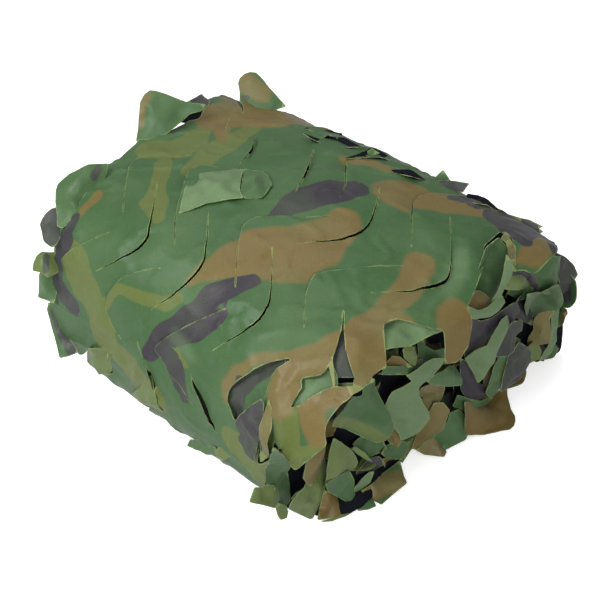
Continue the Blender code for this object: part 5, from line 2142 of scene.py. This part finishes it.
# (mount, depth, rim) of dark pieces behind the gaps and the slits, painted shade of the hollows and of the
# cuts under raised tongues
SHADE_BACKING = (
    (Mount.END, -16, (
        (484, 246), (500, 230), (515, 250), (512, 262), (500, 262), (484, 262),
    )),
    (Mount.END, -16, (
        (505, 285), (565, 285), (560, 350), (535, 362), (520, 345), (505, 320),
    )),
    (Mount.END, -14, (
        (480, 364), (492, 346), (508, 346), (505, 362), (496, 372), (484, 376),
    )),
    (Mount.END, -14, (
        (436, 380), (466, 376), (464, 400), (456, 412), (444, 424), (430, 424), (424, 400),
    )),
    (Mount.END, -14, (
        (374, 366), (392, 368), (416, 370), (416, 384), (404, 392), (392, 398), (390, 414), (384, 412),
        (380, 398), (372, 382),
    )),
    (Mount.END, -20, (
        (388, 344), (416, 332), (444, 322), (452, 334), (452, 366), (430, 372), (400, 372), (388, 366),
    )),
    (Mount.END, -14, (
        (318, 420), (340, 420), (362, 430), (385, 436), (410, 425), (420, 440), (404, 462), (386, 478),
        (366, 500), (345, 512), (316, 516), (306, 500), (314, 470), (320, 446),
    )),
    (Mount.END, -14, (
        (266, 436), (282, 448), (296, 462), (318, 450), (318, 478), (304, 500), (290, 508), (276, 504),
        (266, 484),
    )),
    (Mount.END, -12, (
        (454, 350), (470, 350), (474, 372), (466, 402), (454, 408), (450, 390),
    )),
    (Mount.END, -18, (
        (460, 300), (505, 292), (520, 320), (500, 350), (470, 362), (456, 330),
    )),
    (Mount.CLOTH, 16, (
        (326, 368), (360, 368), (364, 396), (326, 398),
    )),
    (Mount.CLOTH, 16, (
        (288, 368), (332, 358), (340, 392), (300, 412), (286, 414),
    )),
    (Mount.CLOTH, -4.5, (
        (304, 128.5), (315, 127.6), (325, 130), (343, 133.5), (341, 136), (325, 134), (312, 131),
    )),
    (Mount.CLOTH, -4.5, (
        (302, 137.3), (315, 138), (332, 136), (345, 140), (361, 150), (350, 147.5), (338, 143.5),
        (325, 141.5), (310, 141),
    )),
    (Mount.CLOTH, -4.5, (
        (345, 155.5), (360, 152.5), (372, 150.5), (385, 154.5), (399, 160), (398, 164), (385, 160.5),
        (372, 157.5), (355, 156.5),
    )),
    (Mount.CLOTH, -4.5, (
        (385, 167), (395, 168.5), (405, 170.5), (415, 174), (427, 179), (412, 178.5), (400, 174),
    )),
    (Mount.CLOTH, -4, (
        (468, 192), (478, 196.5), (490, 204), (504, 210), (490, 208.5), (476, 203.5), (466, 198),
    )),
    (Mount.CLOTH, 4, (
        (180, 122), (190, 108), (206, 100), (208, 112), (202, 121), (190, 123),
    )),
)
# ring of a dark panel under the top, painted shade seen through the slits: (cloth, along) in metres on the
# flat sheet
SHADE_PANEL = (
    (0.175, -0.125), (0.175, -0.070), (0.175, 0.000), (0.175, 0.075), (0.175, 0.112), (0.250, 0.118),
    (0.320, 0.118), (0.390, 0.118), (0.440, 0.112), (0.440, 0.050), (0.440, -0.030), (0.440, -0.090),
    (0.440, -0.125), (0.390, -0.130), (0.320, -0.130), (0.250, -0.130),
)


@dataclass(frozen=True)
class LeafChart:
    """Carries loose leaves from the camera's picture into space."""

    chart: Chart
    end_normal: tuple = (1.0, -0.11, 0.0)
    end_reach: float = 0.1565
    upright_normal: tuple = (0.46, -0.46, 0.74)
    lowest: float = 0.0015
    flatness: float = 2.0
    backing_bulge: float = -4.0
    panel_bulge: float = 4.0
    panel_depth: float = 0.027

    def held(self, mount: Mount, root: tuple, pixel: tuple, depth: float) -> Array:
        """Place of one mark on its line of sight, in metres.

        Args:
            mount: what holds the leaf.
            root: pixel of the cloth at the foot of an upright leaf.
            pixel: the mark.
            depth: millimetres out of the end plane or behind the cloth.

        Returns:
            The place in the solids' own frame.
        """
        eye = self.chart.view.place() - CENTRING
        sight = self.chart.view.sight(pixel)
        if mount is Mount.CLOTH:
            cloth = self.chart.solid[self.chart.nearest(pixel)[0]] - CENTRING
            return eye + sight * ((cloth - eye) @ sight + depth * MM)
        if mount is Mount.UPRIGHT:
            normal = np.array(self.upright_normal)
            foot = self.chart.solid[self.chart.nearest(root)[0]] - CENTRING
            return eye + sight * ((normal @ (foot - eye)) / (normal @ sight))
        normal = np.array(self.end_normal)
        place = eye + sight * ((self.end_reach + depth * MM - normal @ eye) / (normal @ sight))
        if place[2] < self.lowest:
            place = eye + sight * ((self.lowest - eye[2]) / sight[2])
        return place

    def carried(self, leaf: SeenLeaf, pixels: tuple) -> Array:
        """Places of a line of marks of one leaf, in metres."""
        depths = leaf.depths(pixels)
        return np.array([self.held(leaf.mount, leaf.root, *mark) for mark in zip(pixels, depths)])

    def tilt(self, places: Array) -> tuple:
        """Plane x = start + a y + b z through places in millimetres, or nothing if they are not flat."""
        terms = np.column_stack([np.ones(len(places)), places[:, 1:]])
        start, by_y, by_z = np.linalg.lstsq(terms, places[:, 0], rcond=None)[0]
        if np.abs(terms @ (start, by_y, by_z) - places[:, 0]).max() >= self.flatness:
            return ()
        return round(float(start)), round(float(by_y), 2), round(float(by_z), 2)

    def leaf(self, leaf: SeenLeaf) -> TornLeaf:
        """Carry one leaf into space; a leaf of the end that is nearly flat is laid on its plane."""
        lines = [self.carried(leaf, leaf.rim)] + [self.carried(leaf, line) for _, _, line in leaf.hems]
        tilt = self.tilt(np.vstack(lines) / MM) if leaf.mount is Mount.END else ()
        rim, *bands = [whole_mm(line[:, 1:] if tilt else line) for line in lines]
        hems = tuple(
            (tone, round(half / PIXELS_PER_MM, 1), band) for (tone, half, _), band in zip(leaf.hems, bands)
        )
        return TornLeaf(leaf.shade, leaf.bulge, rim, hems, tilt)

    def hanging(self) -> tuple:
        """The loose leaves that the camera sees one by one."""
        return tuple(self.leaf(leaf) for leaf in HANGING)

    def shade_backing(self) -> tuple:
        """Dark pieces behind the gaps and the slits, and the panel under the top: painted shade."""
        made = []
        for mount, depth, pixels in SHADE_BACKING:
            rim = np.array([self.held(mount, (), pixel, depth) for pixel in pixels])
            made.append(TornLeaf(Shade.DARK, self.backing_bulge, whole_mm(rim)))
        picks = [int(((self.chart.flat - place) ** 2).sum(axis=1).argmin()) for place in np.array(SHADE_PANEL)]
        panel = self.chart.solid[picks] - CENTRING - self.panel_depth * self.chart.outward[picks]
        made.append(TornLeaf(Shade.DARK, self.panel_bulge, whole_mm(panel)))
        return tuple(made)


@dataclass
class TornLeaves:
    """Hanging leaves with angular rims, all in one piece."""

    name: str
    printing: WoodlandPrint
    thickness: float = 0.0006
    step: float = 0.0034
    corner_share: float = 0.14
    crumple: float = 0.0014
    crumple_sizes: tuple = (0.015, 0.0075)
    fold: float = 0.42
    fold_shift: float = 0.004
    low: float = 0.0012
    sharp: float = 40.0
    apart: tuple = (0.217, 0.131)  # step on the flat cloth from one leaf's print to the next
    outward: tuple = (0.75, -0.45, 0.45)
    seed: int = 17
    finish: str = "woodland_cloth"

    def rim_line(self, marks: Array) -> Array:
        """Closed rim through the marks, its corners slightly rounded, points close together."""
        before = marks + (np.roll(marks, 1, axis=0) - marks) * self.corner_share
        after = marks + (np.roll(marks, -1, axis=0) - marks) * self.corner_share
        run = np.linspace(0.0, 1.0, 4)[None, :, None]
        arcs = ((1 - run) ** 2 * before[:, None] + 2 * run * (1 - run) * marks[:, None]
                + run ** 2 * after[:, None])
        ring = arcs.reshape(-1, 3)
        return densified(np.vstack([ring, ring[:1]]), 0.8 * self.step)[:-1]

    def filled(self, ring: Array) -> tuple:
        """Fill a flat ring with points and join them.

        Args:
            ring: rim on the leaf's own plane.

        Returns:
            Points, triangles and the distance of each point to the rim.
        """
        low, high = ring.min(axis=0), ring.max(axis=0)
        columns = np.arange(low[0], high[0], self.step)
        rows = np.arange(low[1], high[1], self.step * 0.866)
        grid = np.stack(np.meshgrid(columns, rows), axis=-1)
        grid[1::2, :, 0] += 0.5 * self.step
        grid = grid.reshape(-1, 2)
        closed = np.vstack([ring, ring[:1]])
        grid = grid[inside(grid, ring)]
        grid = grid[distance_to_line(grid, closed) > 0.55 * self.step]
        points = np.vstack([ring, grid])
        loop = list(range(len(ring)))
        result = delaunay_2d_cdt(
            [Vector(point) for point in points.tolist()], list(zip(loop, loop[1:] + loop[:1])), [], 1, 1e-7)
        places = np.array([tuple(point) for point in result[0]])
        faces = np.array([face for face in result[2] if len(face) == 3])
        return places, faces, distance_to_line(places, closed)

    def leaf(self, number: int, leaf: TornLeaf) -> tuple:
        """Work out one leaf.

        The rim's marks give a middle plane. Inside the rim the height over that plane is
        the mean of the rim's heights, weighted by the cube of nearness, plus the bulge,
        which grows from the rim inward, plus a crumple of folded noise, plus one straight
        crease across the leaf, where the height grows with the distance to both sides.

        Args:
            number: number of the leaf, which sets its noise.
            leaf: the leaf.

        Returns:
            Positions, triangles, flat places and marks of the leaf.
        """
        marks = leaf.spread(leaf.rim)
        ring = self.rim_line(marks)
        middle = marks.mean(axis=0)
        axes = np.linalg.svd(marks - middle)[2]
        normal = axes[2] * np.sign(axes[2] @ np.array(self.outward) + 1e-9)
        second = np.cross(normal, axes[0])
        frame_axes = np.array([axes[0], second])
        flat_ring = (ring - middle) @ frame_axes.T
        places, faces, gap = self.filled(flat_ring)
        weights = 1.0 / (np.linalg.norm(places[:, None] - flat_ring[None], axis=2) + 1e-5) ** 3
        height = (weights * ((ring - middle) @ normal)).sum(axis=1) / weights.sum(axis=1)
        height += leaf.bulge * MM * smooth_step(gap, 0.0, 0.9 * float(gap.max()) + 1e-6)
        flat = places + np.array(self.apart) * (number + 1.0)
        broad, fine = (SoftNoise(size, self.seed + k).at(flat) for k, size in enumerate(self.crumple_sizes))
        folded = (1.0 - 3.0 * np.abs(broad)) + 0.35 * fine
        height += self.crumple * folded * smooth_step(gap, -0.004, 0.008)
        draw = SoftNoise(1.0, self.seed + 2).corner(np.column_stack([np.full(4, number), np.arange(4)]))
        heading = unit(np.array([0.5 + 0.5 * draw[0], draw[1]]))
        beside = np.abs(places @ heading - self.fold_shift * draw[2])
        height += self.fold * draw[3] * (beside - float(beside.mean()))
        solid = middle + places @ frame_axes + height[:, None] * normal
        solid[:, 2] = np.maximum(solid[:, 2], self.low)
        tones = {}
        for order, tone in enumerate(Tone):
            best = self.printing.scattered(flat, tone, np.full(len(flat), leaf.shade.value[order]))
            for hem_tone, half, line in leaf.hems:
                if hem_tone is tone:
                    band = (leaf.spread(line) - middle) @ frame_axes.T
                    best = np.minimum(best, distance_to_line(places, band) - half * MM)
            tones["print_" + tone.value] = best
        # painted sheen: each leaf takes the pale share of its shade
        tones["pale"] = np.full(len(flat), leaf.shade.value[3])
        tones["edge_distance"] = np.minimum(gap, EDGE_REACH)
        return solid, faces, flat, tones

    def build(self, leaves: tuple) -> bpy.types.Object:
        """Make the piece from its leaves."""
        made = [self.leaf(number, leaf) for number, leaf in enumerate(leaves)]
        starts = np.concatenate([[0], np.cumsum([len(part[0]) for part in made])])
        faces = np.vstack([part[1] + start for part, start in zip(made, starts)])
        marks = {title: np.concatenate([part[3][title] for part in made]) for title in made[0][3]}
        piece = surface(self.name, np.vstack([part[0] for part in made]), faces,
                        np.vstack([part[2] for part in made]), marks)
        piece.data.materials.append(bpy.data.materials[self.finish])
        piece.data.materials.append(bpy.data.materials["cut_edge"])
        thickened(piece, self.thickness, self.sharp)
        return piece


@dataclass
class EndFill:
    """Leaves of the inner layers that fill an end of the bundle, level by level."""

    side: int
    levels: int = 7
    columns: int = 7
    lowest: float = 0.030
    highest: float = 0.150
    front: float = -0.128
    back: float = 0.122
    set_in: float = 0.030
    depth: float = 0.010
    length: tuple = (0.034, 0.056)
    width: tuple = (0.030, 0.050)
    bow: float = 0.008
    bulge: float = 3.0
    seed: int = 7
    forms: tuple = tuple(LeafForm)
    shades: tuple = (
        Shade.GREEN, Shade.TAN, Shade.DARK, Shade.PALE, Shade.MIXED, Shade.OLIVE, Shade.BROWN, Shade.MIXED,
    )

    def leaves(self) -> tuple:
        """Lay out the leaves on a shifted grid with chance offsets.

        Each leaf is one of the cut outlines, hung from its root with a chance lean, sideways
        tilt and outward swing, and bowed outward in its middle.

        Returns:
            The leaves of this end.
        """
        made = []
        near, far = INNER_ENDS[self.side]
        for number in range(self.levels * self.columns):
            level, column = divmod(number, self.columns)
            places = np.column_stack([np.full(10, number), np.arange(10)])
            draw = 0.5 + 0.5 * SoftNoise(1.0, self.seed).corner(places)
            share = (column + 0.3 + 0.5 * (level % 2) + 0.5 * (draw[0] - 0.5)) / self.columns
            root = np.array([
                near + (far - near) * share + self.side * (0.024 - self.set_in + self.depth * draw[9]),
                self.front + (self.back - self.front) * share,
                self.lowest + (self.highest - self.lowest) * (level + 0.7 * draw[1]) / self.levels])
            length = self.length[0] + (self.length[1] - self.length[0]) * draw[2]
            width = self.width[0] + (self.width[1] - self.width[0]) * draw[3]
            down = unit(np.array([self.side * (0.05 + 0.50 * draw[4]), 1.3 * (draw[5] - 0.5), -0.80]))
            across = unit(np.array([0.9 * (draw[6] - 0.5), 1.0, 0.9 * (draw[5] - 0.5)]))
            shape = np.array(self.forms[int(draw[7] * (len(self.forms) - 0.01))].value)
            bow = self.bow * np.sin(np.pi * 0.6 * shape[:, 1:]) * np.array([self.side, 0.0, 0.3])
            rim = root + (shape[:, :1] - 0.5) * width * across + shape[:, 1:] * length * down + bow
            shade = self.shades[int(draw[8] * (len(self.shades) - 0.01))]
            made.append(TornLeaf(shade, self.bulge * (draw[0] - 0.3), tuple(map(tuple, rim / MM))))
        return tuple(made)


# ---------------------------------------------------------------- studio
@dataclass(frozen=True)
class Studio:
    """Pale floor, soft lights and the camera."""

    view: Viewpoint
    clip: tuple = (0.05, 30.0)
    # (name, place, size, power) of the soft lights
    lights: tuple = (
        ("key_light", (-0.20, -1.35, 1.35), 0.8, 34.0),
        ("fill_light", (-0.6, 0.3, 2.0), 1.2, 14.0),
        ("end_light", (1.45, -1.05, 1.10), 0.7, 26.0),
    )
    floor_half: float = 6.0
    sky_strength: float = 0.46
    floor_colour: tuple = (0.90, 0.90, 0.90, 1.0)
    floor_bounce: tuple = (0.62, 0.62, 0.62, 1.0)
    floor_glow: float = 0.36

    def floor(self) -> bpy.types.Object:
        """Plain pale floor, one wide flat sheet."""
        mesh = bpy.data.meshes.new("studio_floor")
        half = self.floor_half
        mesh.from_pydata([(-half, -half, 0.0), (half, -half, 0.0), (half, half, 0.0), (-half, half, 0.0)],
                         [], [(0, 1, 2, 3)])
        floor = bpy.data.objects.new("studio_floor", mesh)
        bpy.context.scene.collection.objects.link(floor)
        material = bpy.data.materials.new("studio_floor")
        material.use_nodes = True
        board = Board(material.node_tree)
        shader = material.node_tree.nodes["Principled BSDF"]
        seen = board.add("ShaderNodeLightPath").outputs["Is Camera Ray"]
        board.join(board.mix(seen, self.floor_bounce, self.floor_colour), shader.inputs["Base Color"])
        board.join(board.maths("MULTIPLY", seen, self.floor_glow), shader.inputs["Emission Strength"])
        shader.inputs["Emission Color"].default_value = (1.0, 1.0, 1.0, 1.0)
        shader.inputs["Roughness"].default_value = 0.9
        mesh.materials.append(material)
        return floor

    def camera(self) -> None:
        """Camera at the viewing angle, without blur or shift."""
        data = bpy.data.cameras.new("camera")
        data.lens = self.view.lens
        data.sensor_width = self.view.sensor
        data.clip_start, data.clip_end = self.clip
        item = bpy.data.objects.new("camera", data)
        bpy.context.scene.collection.objects.link(item)
        item.location = self.view.place()
        item.rotation_mode = "QUATERNION"
        item.rotation_quaternion = (-Vector(self.view.back())).to_track_quat("-Z", "Y")
        bpy.context.scene.camera = item

    def light(self, name: str, place: tuple, size: float, power: float) -> None:
        """One soft square light that looks at the target."""
        data = bpy.data.lights.new(name, "AREA")
        data.shape = "SQUARE"
        data.size = size
        data.energy = power
        item = bpy.data.objects.new(name, data)
        bpy.context.scene.collection.objects.link(item)
        item.location = place
        away = Vector(self.view.target) - Vector(place)
        item.rotation_mode = "QUATERNION"
        item.rotation_quaternion = away.to_track_quat("-Z", "Y")

    def build(self) -> None:
        """Set up floor, camera, lights and surroundings."""
        self.floor()
        self.camera()
        for row in self.lights:
            self.light(*row)
        world = bpy.data.worlds.new("studio")
        bpy.context.scene.world = world
        world.use_nodes = True
        world.node_tree.nodes["Background"].inputs["Color"].default_value = (1.0, 1.0, 1.0, 1.0)
        world.node_tree.nodes["Background"].inputs["Strength"].default_value = self.sky_strength
        bpy.context.scene.view_settings.view_transform = "Standard"


# ---------------------------------------------------------------- assembly
def report(piece: bpy.types.Object) -> bpy.types.Object:
    """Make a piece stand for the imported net, take its slot and report it."""
    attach(piece, BODY)
    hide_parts(NODE)
    low, high = np.array(piece.bound_box).min(axis=0), np.array(piece.bound_box).max(axis=0)
    LOG.info("%s: %d faces, from %s to %s", piece.name, len(piece.data.polygons),
             np.round(low, 4).tolist(), np.round(high, 4).tolist())
    return piece


def main() -> None:
    """Build the net and its studio."""
    logging.basicConfig(level=logging.INFO, format="%(name)s: %(message)s")
    view = Viewpoint()
    Studio(view).build()
    woodland_group()
    weave_group()
    wear_group()
    for finish in (PrintedCloth(), CutEdge(), StringFinish()):
        finish.build()
    section = FoldedSection()
    pleats = ()
    for _ in range(PLEAT_ROUNDS):
        pleats = Chart(view, FoldedNet(section, pleats), part=PLEATED).pleats()
    chart = Chart(view, FoldedNet(section, pleats))
    layout = chart.layout()
    seen_leaves = LeafChart(chart)
    printing = WoodlandPrint(layout.blots)
    cloth = NetCloth(section, printing, layout)
    net = report(cloth.build())
    right_fill = EndFill(1, columns=6, set_in=0.044, front=-0.100, highest=0.160)
    left_fill = EndFill(-1, length=(0.026, 0.042), set_in=0.026, back=0.100, seed=13)
    right_leaves = seen_leaves.hanging() + right_fill.leaves()
    hanging = report(TornLeaves("hanging_leaves", printing).build(right_leaves))
    left = report(TornLeaves("left_leaves", printing, seed=29).build(left_fill.leaves()))
    # dark sheets of painted shade in the gaps, slits and hollows
    dark = TornLeaves("black_backing", printing, finish="black_string")
    shade_backing = report(dark.build(seen_leaves.shade_backing()))
    LOG.info("flat sheet %.3f by %.3f m, %.4f square metres", *cloth.flat, cloth.area)


if __name__ == "__main__":
    main()
